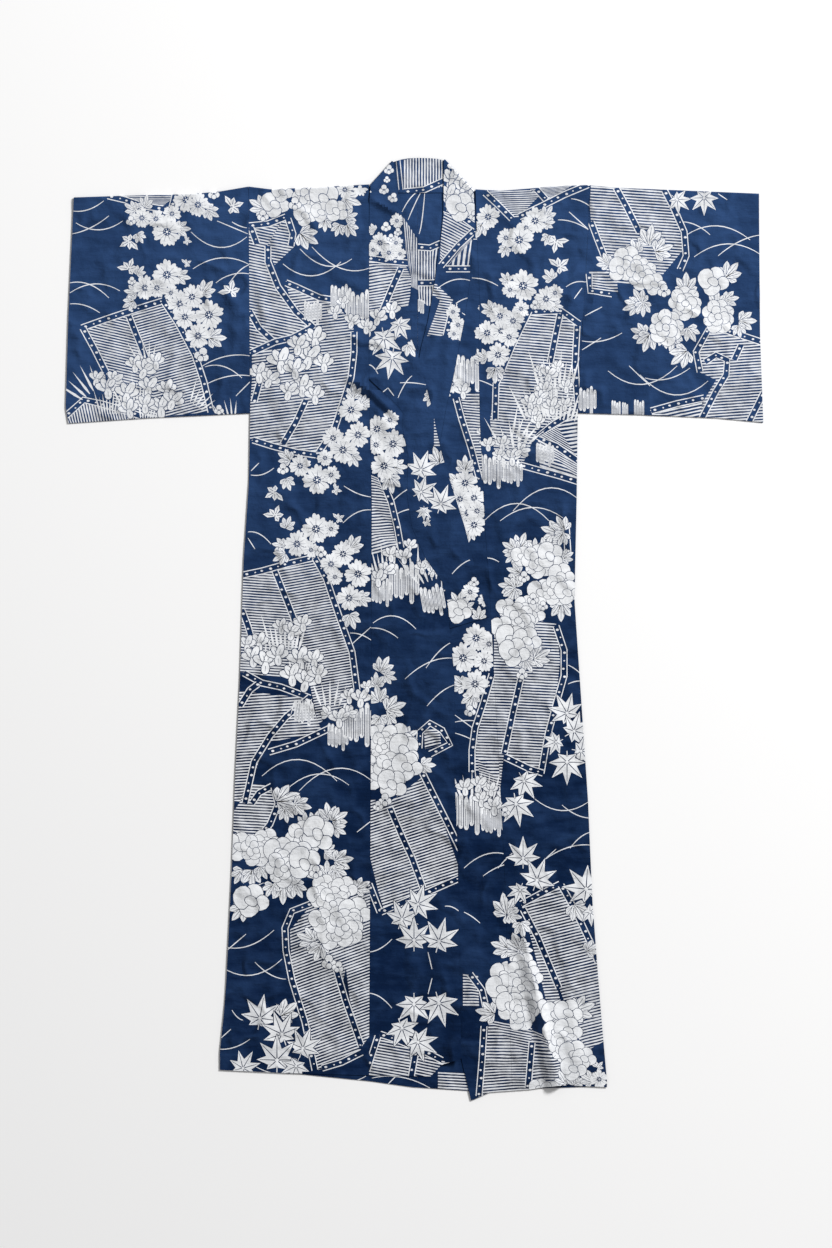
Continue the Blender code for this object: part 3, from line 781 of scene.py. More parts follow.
def facets_of(name, kind="front", rows=(0, 100000)):
    """Facets of a cloth that a print can lie on: its front, its back or its inside."""
    made = cloths[name]
    mesh = made["piece"].data
    corners = np.empty(len(mesh.loops), np.int32)
    mesh.loops.foreach_get("vertex_index", corners)
    corners = corners.reshape(-1, 3)
    places = np.empty(len(mesh.vertices) * 3)
    mesh.vertices.foreach_get("co", places)
    places = places.reshape(-1, 3)
    row = np.empty(len(places), np.int32)
    mesh.attributes["row"].data.foreach_get("value", row)
    first = corners < made["one_side"]
    flat = np.cross(places[corners[:, 1]] - places[corners[:, 0]],
                    places[corners[:, 2]] - places[corners[:, 0]])
    steep = flat[:, 2] / np.maximum(np.linalg.norm(flat, axis=1), 1e-15)
    on_first, on_second = first.all(axis=1), ~first.any(axis=1)
    rising = steep > 0.03
    outer = on_first if (on_first & rising).sum() > (on_second & rising).sum() else on_second
    inner = on_second if outer is on_first else on_first
    wanted = {"front": outer & rising, "back": outer & (steep < -0.03),
              "inside": inner & rising}[kind]
    near = row[corners]
    wanted &= (near >= rows[0]).all(axis=1) & (near <= rows[1]).all(axis=1)
    normals = np.zeros_like(places)
    for corner in range(3):
        np.add.at(normals, corners[outer, corner], flat[outer])
        np.add.at(normals, corners[inner, corner], flat[inner])
    normals /= np.maximum(np.linalg.norm(normals, axis=1, keepdims=True), 1e-15)
    chosen = corners[wanted]
    plan = places[chosen][:, :, :2]
    return {"name": name, "places": places[chosen], "normals": normals[chosen],
            "plan": plan, "low": plan.min(axis=1), "high": plan.max(axis=1),
            "turned": kind == "back", "bits": [], "taken": []}


SIDES = {
    "RS": facets_of("right_sleeve"), "LS": facets_of("left_sleeve"),
    "RB": facets_of("right_body"), "LB": facets_of("left_body"),
    "RO": facets_of("right_okumi"), "LO": facets_of("left_okumi"),
    "RC": facets_of("collar", rows=(0, back_from)),
    "LC": facets_of("collar", rows=(back_to, 100000)),
    "NC": facets_of("collar", "inside"),
    "NR": facets_of("right_body", "inside"), "NL": facets_of("left_body", "inside"),
}
print({name: len(side["plan"]) for name, side in SIDES.items()})

# %% [markdown]
# ## Cutting a shape by a facet
#
# The shape is cut along one edge of the facet after another, keeping what lies on the inner
# side each time. Boolean modifiers do this too, but thousands of tiny flat shapes are far
# quicker with three straight cuts each.

# %% Cut, lay and stack
def cut_by(shape, facet):
    """What is left of a plan shape inside a facet, as a list of corners."""
    for edge in range(3):
        (ax, ay), (bx, by) = facet[edge], facet[(edge + 1) % 3]
        run, rise = bx - ax, by - ay
        kept = []
        px, py = shape[-1]
        before = run * (py - ay) - rise * (px - ax)
        for x, y in shape:
            inside = run * (y - ay) - rise * (x - ax)
            if (inside >= 0) != (before >= 0):
                part = before / (before - inside)
                kept.append((px + (x - px) * part, py + (y - py) * part))
            if inside >= 0:
                kept.append((x, y))
            px, py, before = x, y, inside
        shape = kept
        if len(shape) < 3:
            return []
    return shape


def lay(side, shape, ink, level, phase=(0.0, 0.0, 0.0)):
    """Lay one convex plan shape on a side of a cloth."""
    low, high = shape.min(axis=0), shape.max(axis=0)
    near = np.nonzero((side["low"] < high).all(axis=1) & (side["high"] > low).all(axis=1))[0]
    corners = shape.tolist()
    area = sum(corners[k - 1][0] * corners[k][1] - corners[k][0] * corners[k - 1][1]
               for k in range(len(corners)))
    if (area < 0) != side["turned"]:
        corners.reverse()
    for facet in near.tolist():
        three = side["plan"][facet].tolist()
        bit = cut_by(corners, three[::-1] if side["turned"] else three)
        if bit:
            side["bits"].append((facet, bit, ink, level, phase))


def drawn(points):
    """Places on the drawing, in units from its top left corner, as plan places in metres."""
    points = np.atleast_2d(np.array(points, dtype=float))
    return (points - DRAWING_MIDDLE) * (UNIT, -UNIT)


def base_level(side, low, high, thick):
    """The first free level above all that was laid here before."""
    level = 1
    for other_low, other_high, top in side["taken"]:
        if (other_low < high).all() and (other_high > low).all():
            level = max(level, top + 1)
    side["taken"].append((low, high, level + thick))
    return level


def stamp(side, parts, x=0.0, y=0.0, size=1.0, turn=0.0, squeeze=1.0):
    """Lay a motif: shapes about its own centre, each with an ink and a level."""
    angle = math.radians(turn)
    spin = np.array([[math.cos(angle), math.sin(angle)], [-math.sin(angle), math.cos(angle)]])
    ready = [(drawn((np.array(shape) * (squeeze, 1.0)) @ spin * size + (x, y)), ink, level)
             for shape, ink, level in parts]
    low = np.min([shape.min(axis=0) for shape, _, _ in ready], axis=0)
    high = np.max([shape.max(axis=0) for shape, _, _ in ready], axis=0)
    level = base_level(side, low, high, max(part[2] for part in ready))
    for shape, ink, above in ready:
        lay(side, shape, ink, level + above)


# %% [markdown]
# ## A small library of motifs
#
# Flowers repeat hundreds of times, so each kind is drawn once, at a radius of one, from
# petals and lobes with few corners. A dark shape a little larger under a white one gives the
# thin dark outline that the dyer's stencil leaves between petals.

# %% Petals, lobes and strokes
def blob(x, y, radius, corners=9, tall=1.0, turn=0.0):
    """A rounded shape about a point."""
    return [(x + radius * math.cos(turn + 2 * math.pi * k / corners),
             y + radius * tall * math.sin(turn + 2 * math.pi * k / corners))
            for k in range(corners)]


def scale(x, y, radius, turn):
    """A broad petal, wider than long and a little uneven, like a scale."""
    corners = []
    for k in range(12):
        a = 2 * math.pi * k / 12
        far = radius * (1.0 + 0.06 * math.sin(2.0 * a + turn * 3.0) + 0.05 * math.sin(3.0 * a))
        across, out = far * math.cos(a), 0.82 * far * math.sin(a)
        corners.append((x + across * math.cos(turn) - out * math.sin(turn),
                        y + across * math.sin(turn) + out * math.cos(turn)))
    return corners


def along(angle, profile):
    """A shape that is the same on both sides of a line that leaves the centre at an angle."""
    a = math.radians(angle)
    out, across = (math.sin(a), -math.cos(a)), (math.cos(a), math.sin(a))
    both = profile + [(far, -wide) for far, wide in reversed(profile) if wide > 0]
    return [(far * out[0] + wide * across[0], far * out[1] + wide * across[1])
            for far, wide in both]


def petal(angle, start, end, wide):
    """A petal, narrow at its root and round at its tip."""
    length = end - start
    return along(angle, [(start, wide * 0.35), (start + length * 0.55, wide),
                         (start + length * 0.87, wide * 0.72), (end, wide * 0.2)])


def lobe(angle, start, end, wide, widest=0.45):
    """A pointed lobe of a leaf."""
    return along(angle, [(start, wide * 0.3), (start + (end - start) * widest, wide),
                         (end, 0.0)])


def rib(angle, start, end, wide=0.022):
    """The thin dark line along the middle of a lobe."""
    return along(angle, [(start, wide), (end, wide * 0.5)])


def chrysanthemum(petals=9):
    """Round flower with notched petals and a speckled middle."""
    parts = [(blob(0, 0, 0.72, 12), DYED, 0)]
    for k in range(petals):
        angle = 360 * k / petals + 6 * math.sin(k * 2.4)
        reach = 1.0 - 0.12 * abs(math.sin(k * 1.7))
        level = 1 + k % 3
        parts.append((petal(angle - 7, 0.20, reach, 0.165), WHITE, level))
        parts.append((petal(angle + 9, 0.20, reach * 0.93, 0.150), WHITE, level + 3))
        parts.append((rib(angle, 0.24, 0.62, 0.014), DYED, 7))
    parts.append((blob(0, 0, 0.25, 9), DYED, 8))
    parts.append((blob(0.01, 0, 0.085, 6), WHITE, 9))
    for k in range(6):
        angle = math.radians(60 * k + 14)
        parts.append((blob(0.165 * math.sin(angle), 0.165 * math.cos(angle), 0.042, 5),
                      WHITE, 9))
    return parts


def half_flower(petals=7):
    """Flower seen from its side, with petals on its upper half."""
    parts = [(blob(0, -0.30, 0.50, 9, 0.8), DYED, 0)]
    for k in range(petals):
        angle = -84 + 168 * k / (petals - 1)
        parts.append((petal(angle, 0.12, 1.0 - 0.12 * (k % 2), 0.19), WHITE, 1 + k % 3))
    parts.append((petal(180, -0.12, 0.42, 0.26), WHITE, 4))
    parts.append((rib(0, 0.2, 0.62, 0.02), DYED, 5))
    return parts


def outlined(make, values, line, level):
    """A white shape about x, y within a thin dark outline, on two levels."""
    x, y, radius, *more = values
    return [(make(x, y, radius, *more), DYED, level),
            (make(x, y, radius - line, *more), WHITE, level + 1)]


def ring(parts, reach, radius, count, start, level, line=0.028):
    """Round petals in a ring, each with a thin dark outline and on a level of its own."""
    for k in range(count):
        a = math.radians(start + 360 * k / count + 7 * math.sin(3.1 * k + reach * 5))
        size = radius * (1.0 + 0.16 * math.sin(5.0 * k + reach * 9))
        far = reach * (1.0 + 0.08 * math.sin(2.3 * k))
        x, y, layer = far * math.sin(a), -far * math.cos(a), level + 2 * k
        parts += outlined(scale, (x, y, size, a), line, layer)
    return level + 2 * count


def peony():
    """Full flower of round petals that overlap like scales."""
    parts = []
    level = ring(parts, 0.64, 0.40, 8, 0, 0)
    for k in range(4):
        parts.append((rib(45 + 90 * k, 0.72, 0.92, 0.012), DYED, level))
    level = ring(parts, 0.33, 0.34, 5, 25, level + 1)
    return parts + outlined(blob, (0.02, 0.03, 0.23, 9, 0.9), 0.03, level)


def bloom():
    """Part of a peony: a few large petals round one."""
    parts = []
    level = ring(parts, 0.60, 0.64, 4, 18, 0, 0.045)
    return parts + outlined(scale, (-0.05, 0.06, 0.42, 0.5), 0.045, level)


def moved(parts, x, y):
    """The same shapes about another centre."""
    return [([(px + x, py + y) for px, py in shape], ink, level) for shape, ink, level in parts]


def maple(lobes=7):
    """Maple leaf: pointed lobes from one point, the middle one longest, and a short stem."""
    parts = []
    reach = {0: 1.30, 1: 1.22, 2: 1.02, 3: 0.68}
    for k in range(lobes):
        away = k - lobes // 2
        angle, end = away * 44.0, reach[min(abs(away), 3)]
        parts.append((lobe(angle, 0.02, end + 0.07, 0.275, 0.44), DYED, k))
        parts.append((lobe(angle, 0.0, end, 0.232, 0.44), WHITE, 7 + k))
        parts.append((rib(angle, 0.09, end * 0.84, 0.026), DYED, 15))
    parts.append((along(180, [(0.05, 0.03), (0.62, 0.022)]), WHITE, 14))
    return parts


def leaf(lobes=5):
    """Leaf of pointed lobes that spread from its foot, with fine veins."""
    parts = []
    for k in range(lobes):
        away = k - lobes // 2
        end = (1.62, 1.38, 0.98)[abs(away)]
        angle = away * 35.0
        level = 3 * (2 - abs(away)) + (3 if away > 0 else 0)
        parts.append((lobe(angle, 0.05, end + 0.09, 0.36, 0.62), DYED, level))
        parts.append((along(angle, [(0.05, 0.07), (end * 0.40, 0.22), (end * 0.66, 0.29),
                                    (end * 0.88, 0.15), (end, 0.0)]), WHITE, level + 1))
        parts.append((rib(angle, 0.25, end * 0.86, 0.026), DYED, level + 2))
        for turn in (-13, 13):
            parts.append((rib(angle + turn, end * 0.45, end * 0.74, 0.018), DYED, level + 2))
    return moved(parts, 0.0, 0.70)


def sprig():
    """Two pairs of small leaves on a stem, like a butterfly."""
    parts = []
    for k, (angle, end) in enumerate(((-62, 1.1), (-18, 0.8), (40, 1.05), (100, 0.8), (165, 0.6))):
        parts.append((lobe(angle, 0.05, end, 0.23, 0.58), WHITE, k))
        parts.append((rib(angle, 0.2, end * 0.8, 0.03), DYED, 5))
    return parts


def iris():
    """Loose water flower: three broad petals and two narrow ones."""
    parts = []
    for k, (angle, end, wide) in enumerate(((-74, 1.05, 0.34), (66, 1.0, 0.36), (-32, 0.98, 0.30),
                                            (22, 1.10, 0.34), (176, 0.86, 0.34))):
        shape = along(angle, [(-0.10, wide * 0.5), (0.30, wide), (end * 0.74, wide * 0.92),
                              (end, wide * 0.34)])
        inner = along(angle, [(-0.06, wide * 0.42), (0.30, wide - 0.05),
                              (end * 0.74, wide * 0.92 - 0.06), (end - 0.06, wide * 0.3)])
        parts.append((shape, DYED, 2 * k))
        parts.append((inner, WHITE, 2 * k + 1))
        parts.append((rib(angle, 0.22, 0.60, 0.020), DYED, 10))
    return parts


def bud():
    """Four round petals about a dark middle."""
    parts = []
    for k, (x, y, radius) in enumerate(((-0.4, 0.2, 0.5), (0.42, 0.15, 0.48), (0.0, -0.4, 0.52),
                                        (0.0, 0.45, 0.4))):
        parts += outlined(blob, (x, y, radius, 8), 0.07, 2 * k)
    parts.append((blob(0, 0, 0.14, 6), DYED, 8))
    return parts


def blades(count=5, spread=10.0, apart=0.13):
    """Long narrow leaves side by side that lean outwards."""
    parts = []
    for k in range(count):
        away = k - (count - 1) / 2
        end = 1.0 - 0.34 * abs(math.sin(k * 1.9))
        parts += moved([(lobe(away * spread, 0.0, end, 0.036, 0.25), WHITE, 0)],
                       away * apart, 0.0)
    return parts


def stakes(count=4):
    """Old posts standing in water: rounded bars of uneven length with lines of grain."""
    parts = []
    for k in range(count):
        x = (k - (count - 1) / 2) * 0.235
        top = -1.0 + 0.36 * abs(math.sin(k * 2.2 + 0.4))
        low = 1.0 - 0.42 * abs(math.sin(k * 1.3 + 1.1))
        bar = [(x - 0.100, low - 0.10), (x - 0.100, top + 0.12), (x - 0.045, top),
               (x + 0.045, top), (x + 0.100, top + 0.12), (x + 0.100, low - 0.10),
               (x + 0.045, low), (x - 0.045, low)]
        parts.append((bar, WHITE, 0))
        for way, start, end in ((-0.042, 0.16, 0.50), (0.036, 0.10, 0.22)):
            parts.append(([(x + way - 0.012, low - start), (x + way - 0.012, top + end),
                           (x + way + 0.012, top + end), (x + way + 0.012, low - start)],
                          DYED, 1))
    return parts


MOTIFS = {
    "mum": chrysanthemum(), "half": half_flower(), "peony": peony(), "maple": maple(),
    "leaf": leaf(), "sprig": sprig(), "iris": iris(), "bud": bud(), "blades": blades(),
    "stakes": stakes(), "stakes3": stakes(3), "stakes6": stakes(6), "reeds": blades(9, 4.0, 0.09),
    "bloom": bloom(),
}
print({name: len(parts) for name, parts in MOTIFS.items()})

# %% [markdown]
# ## Screens, borders and grass
#
# Between the flowers stand reed screens: panels of fine stripes, some tilted and some curved
# like a hanging cloth. A screen is given by its two long sides, and the stripes run across
# from one side to the other, so they fan out where it curves. Borders are dark bands with
# uneven white dots between two lines, and grass is a thin bow.

# %% Screens, borders and grass
STRIPE_EVERY = 2.9
BORDER_LINE = 0.95
DOT_SIZES = (0.27, 0.16, 0.23)
DOT_SWAY = 0.8


def screen(side, left, right, lean=None, every=STRIPE_EVERY):
    """Stripes between two long sides; lean keeps them all at one angle to the x axis."""
    left, right = np.array(left, dtype=float), np.array(right, dtype=float)
    outline = drawn(np.concatenate([left, right]))
    level = base_level(side, outline.min(axis=0), outline.max(axis=0), 0)
    count = 0.0
    for k in range(len(left) - 1):
        tall = sum(np.linalg.norm(edge[k + 1] - edge[k]) for edge in (left, right)) / 2
        after = count + tall / every
        for three, turns in (((left[k], right[k], right[k + 1]), (count, count, after)),
                             ((left[k], right[k + 1], left[k + 1]), (count, after, after))):
            shape = drawn(three)
            sums = np.column_stack([shape, np.ones(3)])
            if abs(np.linalg.det(sums)) < 1e-9:
                continue
            phase = tuple(np.linalg.solve(sums, turns)) if lean is None else (
                -math.sin(math.radians(lean)) / (every * UNIT),
                math.cos(math.radians(lean)) / (every * UNIT), 0.0)
            lay(side, shape, STRIPED, level, phase)
        count = after


def stroke(points, wide, ends=1.0):
    """Quads along a line of points, thinner at its ends where ends is below one."""
    points = np.array(points, dtype=float)
    last = len(points) - 1
    edges = []
    for k, here in enumerate(points):
        way = points[min(k + 1, last)] - points[max(k - 1, 0)]
        way /= max(np.linalg.norm(way), 1e-9)
        half = wide / 2 * (ends + (1 - ends) * math.sin(math.pi * (k + 0.35) / (last + 0.7)))
        aside = np.array((-way[1], way[0])) * half
        edges.append((here + aside, here - aside))
    return [[edges[k][0], edges[k + 1][0], edges[k + 1][1], edges[k][1]] for k in range(last)]


def border(side, points, wide=6.0, dots=8.0):
    """A dark band between two white lines, with white dots along it."""
    points = np.array(points, dtype=float)
    parts = [(quad, DYED, 0) for quad in stroke(points, wide + 1.0)]
    for hand in (-1, 1):
        rail = []
        for k, here in enumerate(points):
            way = points[min(k + 1, len(points) - 1)] - points[max(k - 1, 0)]
            way /= np.linalg.norm(way)
            rail.append(here + np.array((-way[1], way[0])) * hand * wide / 2)
        parts += [(quad, WHITE, 1) for quad in stroke(rail, BORDER_LINE)]
    steps = np.linalg.norm(np.diff(points, axis=0), axis=1)
    reach = np.concatenate([[0.0], np.cumsum(steps)])
    for k, at in enumerate(np.arange(dots / 2, reach[-1], dots)):
        x, y = (np.interp(at, reach, points[:, axis]) for axis in (0, 1))
        size, away = DOT_SIZES[k % len(DOT_SIZES)], DOT_SWAY * math.sin(2.3 * k)
        parts.append((blob(x + away, y, wide * size, 6, 0.75, k), WHITE, 1))
    stamp(side, parts)


def grass(side, x0, y0, x1, y1, bow, wide=1.0):
    """One thin bow of grass, rising by bow in the middle."""
    part = np.linspace(0.0, 1.0, 11)
    x = x0 + (x1 - x0) * part
    y = y0 + (y1 - y0) * part - bow * 4 * part * (1 - part)
    stamp(side, [(quad, WHITE, 0) for quad in stroke(np.column_stack([x, y]), wide, 0.55)])

# %% [markdown]
# ## Where each motif goes
#
# A real bolt repeats its pattern, but each panel is cut from another stretch of it, so the
# pattern breaks at every seam. That is why each side of each panel has its own short tables.
# Screens are laid first, then grass, borders and flowers, as a dyer would build up the
# picture. x and y count from the top left corner of the drawing, 1.85 mm to the unit.

# %% Right sleeve
SMALL_PEONY = 15.5
BLOOM_LARGER = 1.08


def numbers(text):
    """Rows of numbers: a blank between two rows, a comma between the numbers of one."""
    return [[float(number) for number in row.split(",")] for row in text.split()]


def dress(name, screens="", bows="", borders="", motifs=""):
    """Lay all that belongs on one side of one panel.

    A slash stands between two screens or two borders. A screen has its two long sides and,
    after another bar, its lean and the distance between stripes. A bow has its two ends and
    its rise. In motifs, each name is followed by the x, y and size of every one of them,
    and its turn if it has one.
    """
    side = SIDES[name]
    for row in filter(None, screens.split("/")):
        left, right, *tilt = map(numbers, row.split("|"))
        screen(side, left, right, *(tilt[0][0] if tilt else ()))
    for row in numbers(bows):
        grass(side, *row)
    for row in filter(None, borders.split("/")):
        border(side, numbers(row))
    for word in motifs.split():
        if word in MOTIFS:
            kind = word
            continue
        [row] = numbers(word)
        small = kind == "peony" and row[2] < SMALL_PEONY
        if small:
            row[2] *= BLOOM_LARGER
        stamp(side, MOTIFS["bloom" if small else kind], *row)
    print(name, "has", len(side["bits"]), "bits of print")


RS_ROWS = dict(
    screens="""
100,190 112,198 143,205 | 176,190 172,199 160,209 / 82,327 107,374 120,421 | 131,311 146,357
158,417 | -13,2.7 / 131,311 146,357 158,417 | 164,302 193,352 208,412 | 15,2.7 / 66,418
86,400 117,408 150,419 | 70,428 92,428 122,426 150,424""",
    bows="""
72,211,104,201,-4 72,234,109,216,-3 76,223,123,221,-8 70,283,109,298,6 70,293,120,291,8
70,304,100,313,3 191,232,247,237,-13 217,221,248,234,0 232,222,247,228,-1 193,269,250,265,9
216,283,249,274,4 229,284,249,265,3 201,367,250,356,5 205,367,242,378,6 205,385,251,376,4
236,396,251,381,0""",
    borders="""
108,196 125,200 143,206 163,209 / 172,208 176,192 / 82,328 107,319 131,311 163,301 / 83,328
95,350 108,376 / 129,316 137,336 146,358 / 164,302 178,323 195,355 204,382 211,412 / 66,416
84,400 102,404 126,411 152,420""",
    motifs="""
reeds 132,404,30,350 110,414,26 150,420,26,10
blades 90,394,36,322 146,362,26,350 196,406,26,35 229,418,24,345
iris 97,379,9,20 108,389,13 114,380,10,40 127,394,13,10 135,365,10 145,370,12,30 156,362,10
  149,388,12,15 167,390,11 161,408,13 173,401,12,25 145,405,11 129,410,11,350
leaf 146,202,8,10 212,213,9,120 131,208,8,300 183,229,9,90 140,238,7,150 140,271,7,40
  183,277,9,100 131,292,8,280 129,304,8,240 207,288,10,40 217,338,11,90
sprig 186,241,6,60 130,241,11,200 232,207,12,30 129,269,11,340 186,264,6,20 231,292,12,330
mum 186,200,14 198,205,13,20 172,214,10,40 142,218,11,10 156,219,10,30 167,232,16 167,275,16
  145,288,13,15 157,288,11 171,293,9,30 180,304,14,10 192,297,13 185,317,13,25 209,315,16
  198,336,14,12
bud 131,221,6 214,194,7 132,281,5 202,355,9,20 219,410,6""")
dress("RS", **RS_ROWS)

# %% Left sleeve
LS_ROWS = dict(
    screens="""
588,186 591,222 604,256 607,282 | 616,186 629,222 641,250 646,286 | -4 / 616,186 629,222
641,250 646,286 | 662,188 678,222 683,250 660,278 | -4 / 589,272 592,290 | 616,272 618,293 /
706,330 700,350 697,371 716,380 704,400 696,424 | 764,341 764,356 764,371 764,385 764,402
764,426 | 4 / 650,410 656,424 | 703,399 698,424""",
    bows="""
685,236,750,240,12 718,256,761,235,4 694,257,761,255,12 683,222,710,235,3
608,371,677,366,-16 640,375,708,381,-17 645,378,690,368,-6 629,366,650,386,0
585,316,602,307,0 582,341,622,333,-4 582,350,601,338,0 587,282,566,288,2 718,194,727,200,0""",
    borders="""
616,188 627,208 639,232 / 664,190 673,207 684,232 686,256 680,270 / 591,222 597,238 604,256
/ 589,274 590,291 612,294 / 700,372 696,352 709,329 728,331 764,343 / 705,362 716,355
727,360 726,375 716,391 702,418 / 741,345 734,360 / 651,411 676,404 704,398 / 764,392
756,408 748,424""",
    motifs="""
stakes 616,409,10 639,409,11
stakes3 625,410,9
stakes6 586,400,15
leaf 650,236,13,10 663,249,12,70 634,247,9,340 603,261,9,300 638,297,10,330 631,307,10,250
  643,309,9,180 686,283,12 731,271,12,40 717,299,10 731,299,9,80 747,321,11,90 739,331,8,170
  639,332,10,290 647,342,12,200 672,343,11,190 680,357,13,230 691,334,10,150 665,341,9,170
maple 677,200,12,130 704,198,14,180
peony 629,259,12 621,270,11,30 642,274,17,10 655,284,10 714,281,13 685,303,18 718,316,18,20
  666,327,19,40
bud 664,291,8""")
dress("LS", **LS_ROWS)

# %% Right front
RB_ROWS = dict(
    screens="""
244,226 244,260 244,300 244,356 | 286,218 267,262 284,298 310,330 | -12 / 284,218 267,246
274,264 | 292,236 295,246 275,265 | -10 / 286,281 290,300 312,322 296,346 252,352 252,380
250,410 250,440 | 323,297 353,320 354,340 352,360 350,380 344,402 333,430 318,455 | 7 /
240,576 238,600 236,640 238,672 | 276,568 284,594 297,626 300,680 | -4,2.7 / 276,568 284,594
297,626 306,664 318,724 | 314,558 326,578 340,618 352,652 352,700 | 10,2.7 / 234,690 232,720
230,750 228,800 | 306,698 282,720 264,746 245,802 | 4 / 270,716 270,742 | 312,706 322,732 |
4 / 247,782 240,802 224,826 222,838 | 273,787 276,804 268,822 258,840 | -3 / 312,904 290,930
292,974 306,1020 318,1070 | 350,900 350,950 342,985 350,1012 361,1055 | 20 / 350,896 345,960
350,1000 362,1046 | 372,880 372,940 371,990 371,1034 | 20""",
    bows="""
300,249,352,259,-12 312,247,370,268,-11 283,264,341,262,-13 251,471,259,463,0
251,475,274,468,-3 344,486,371,497,-2 343,523,371,510,4 248,532,271,544,4 248,538,255,549,0
352,644,371,627,0 350,633,371,640,2 262,776,337,781,19 285,791,349,785,14 299,791,371,780,17
357,832,371,821,0 225,947,274,930,-7 226,951,246,934,0 222,967,282,959,-12
255,962,286,979,-4 220,1049,250,1039,-3 221,1038,231,1029,0 232,1010,243,1020,-2
255,1066,300,1072,-5""",
    borders="""
249,226 268,224 286,217 / 288,219 293,234 291,246 / 268,246 268,262 278,287 296,312 314,328
/ 251,228 257,244 / 250,312 259,328 273,341 / 251,353 275,342 292,338 311,328 / 286,283
296,287 320,298 334,300 / 354,332 354,352 351,378 344,400 334,430 319,452 / 306,400 296,422
283,444 / 262,374 258,388 254,402 / 253,440 272,446 295,452 316,455 / 243,575 262,571
287,564 312,558 / 315,558 326,578 339,616 352,652 357,690 / 275,571 285,596 296,624 /
242,610 248,626 252,640 / 244,673 262,683 281,687 310,698 / 240,706 250,690 258,684 /
310,697 286,717 270,736 254,762 245,803 / 269,752 296,744 330,728 / 252,803 259,793 272,786
/ 274,787 278,804 270,824 258,839 / 232,833 244,838 258,840 / 313,903 292,911 285,928
286,950 292,980 305,1022 315,1070 / 335,965 345,999 361,1045 / 322,1068 342,1062 362,1052""",
    motifs="""
stakes6 341,298,15 360,308,20 313,312,13 304,712,14 338,736,15 359,724,23
reeds 285,650,38 262,664,30 303,700,22,180 300,672,24,5
blades 330,706,34 254,890,14,90
iris 335,313,8 343,303,7 352,322,9,20 366,327,9 315,339,13 309,358,15,20 324,364,11 298,346,12,10
  281,362,15 259,374,12 270,380,11,30 302,387,13 315,396,11 289,392,11,20 295,370,12 281,627,9
  292,632,11,20 303,624,10 259,643,11 247,645,10 253,658,12 266,663,14,10 300,660,14 314,660,11
  292,676,13 306,682,13,20 318,675,11 278,656,12 349,697,9 361,699,11,10 328,713,8,300 339,719,11
  349,713,8,60 367,687,7
leaf 258,205,11,300 351,201,12,110 308,238,13,120 325,225,8,180 351,216,8,70 338,230,8,200
  351,230,9,140 354,392,9 366,402,8,60 354,460,9,150 285,457,9,300 288,484,8,160 288,523,8,20
  279,545,8,280 280,557,9,240 355,543,10,40 365,599,9,100 352,621,10,160 287,798,15,70
  302,806,11,100 286,815,9,170 305,820,9 316,818,9,20 328,812,11,350 339,817,11,60 339,830,9,120
  331,852,9,90 239,876,10,210 252,878,11,180 263,872,9,150 283,893,13,180 270,890,9,210
  298,890,10,150 343,860,12,80 327,869,10 338,875,10,150 239,912,12,220 307,938,12,290
  318,952,11,200 362,886,10,60 288,1010,13,50
sprig 335,490,7,60 275,492,11,200 275,516,11,340 338,519,7,20
half 360,189,8,180
maple 260,1018,19,10 282,1034,19,340 303,1048,17,20 277,1060,20 243,1068,15,30 296,1066,14,200
mum 345,190,10 351,410,14 358,435,14,10 333,438,12 343,450,15,20 325,458,9 300,466,12
  317,480,16,5 331,475,10,30 316,529,16 331,529,9 297,544,14,15 311,550,9 343,554,13
  331,564,12,20 358,574,15 335,577,9 349,598,14,10
peony 276,204,12 283,192,9 308,197,17 325,199,14,30 306,215,10 322,212,9 337,211,10,20
  268,840,11 303,838,19 319,834,15,40 240,846,13 256,850,17,20 281,852,14 300,856,14,10
  284,868,20 306,864,15,30 252,900,15 325,885,10 345,888,11 319,896,10 333,903,18,10 356,912,14
  332,936,12 322,920,11 345,927,20
bud 263,216,7 295,204,8 283,469,7 321,552,7 316,872,8 329,962,9 338,967,7,20""")
dress("RB", **RB_ROWS)

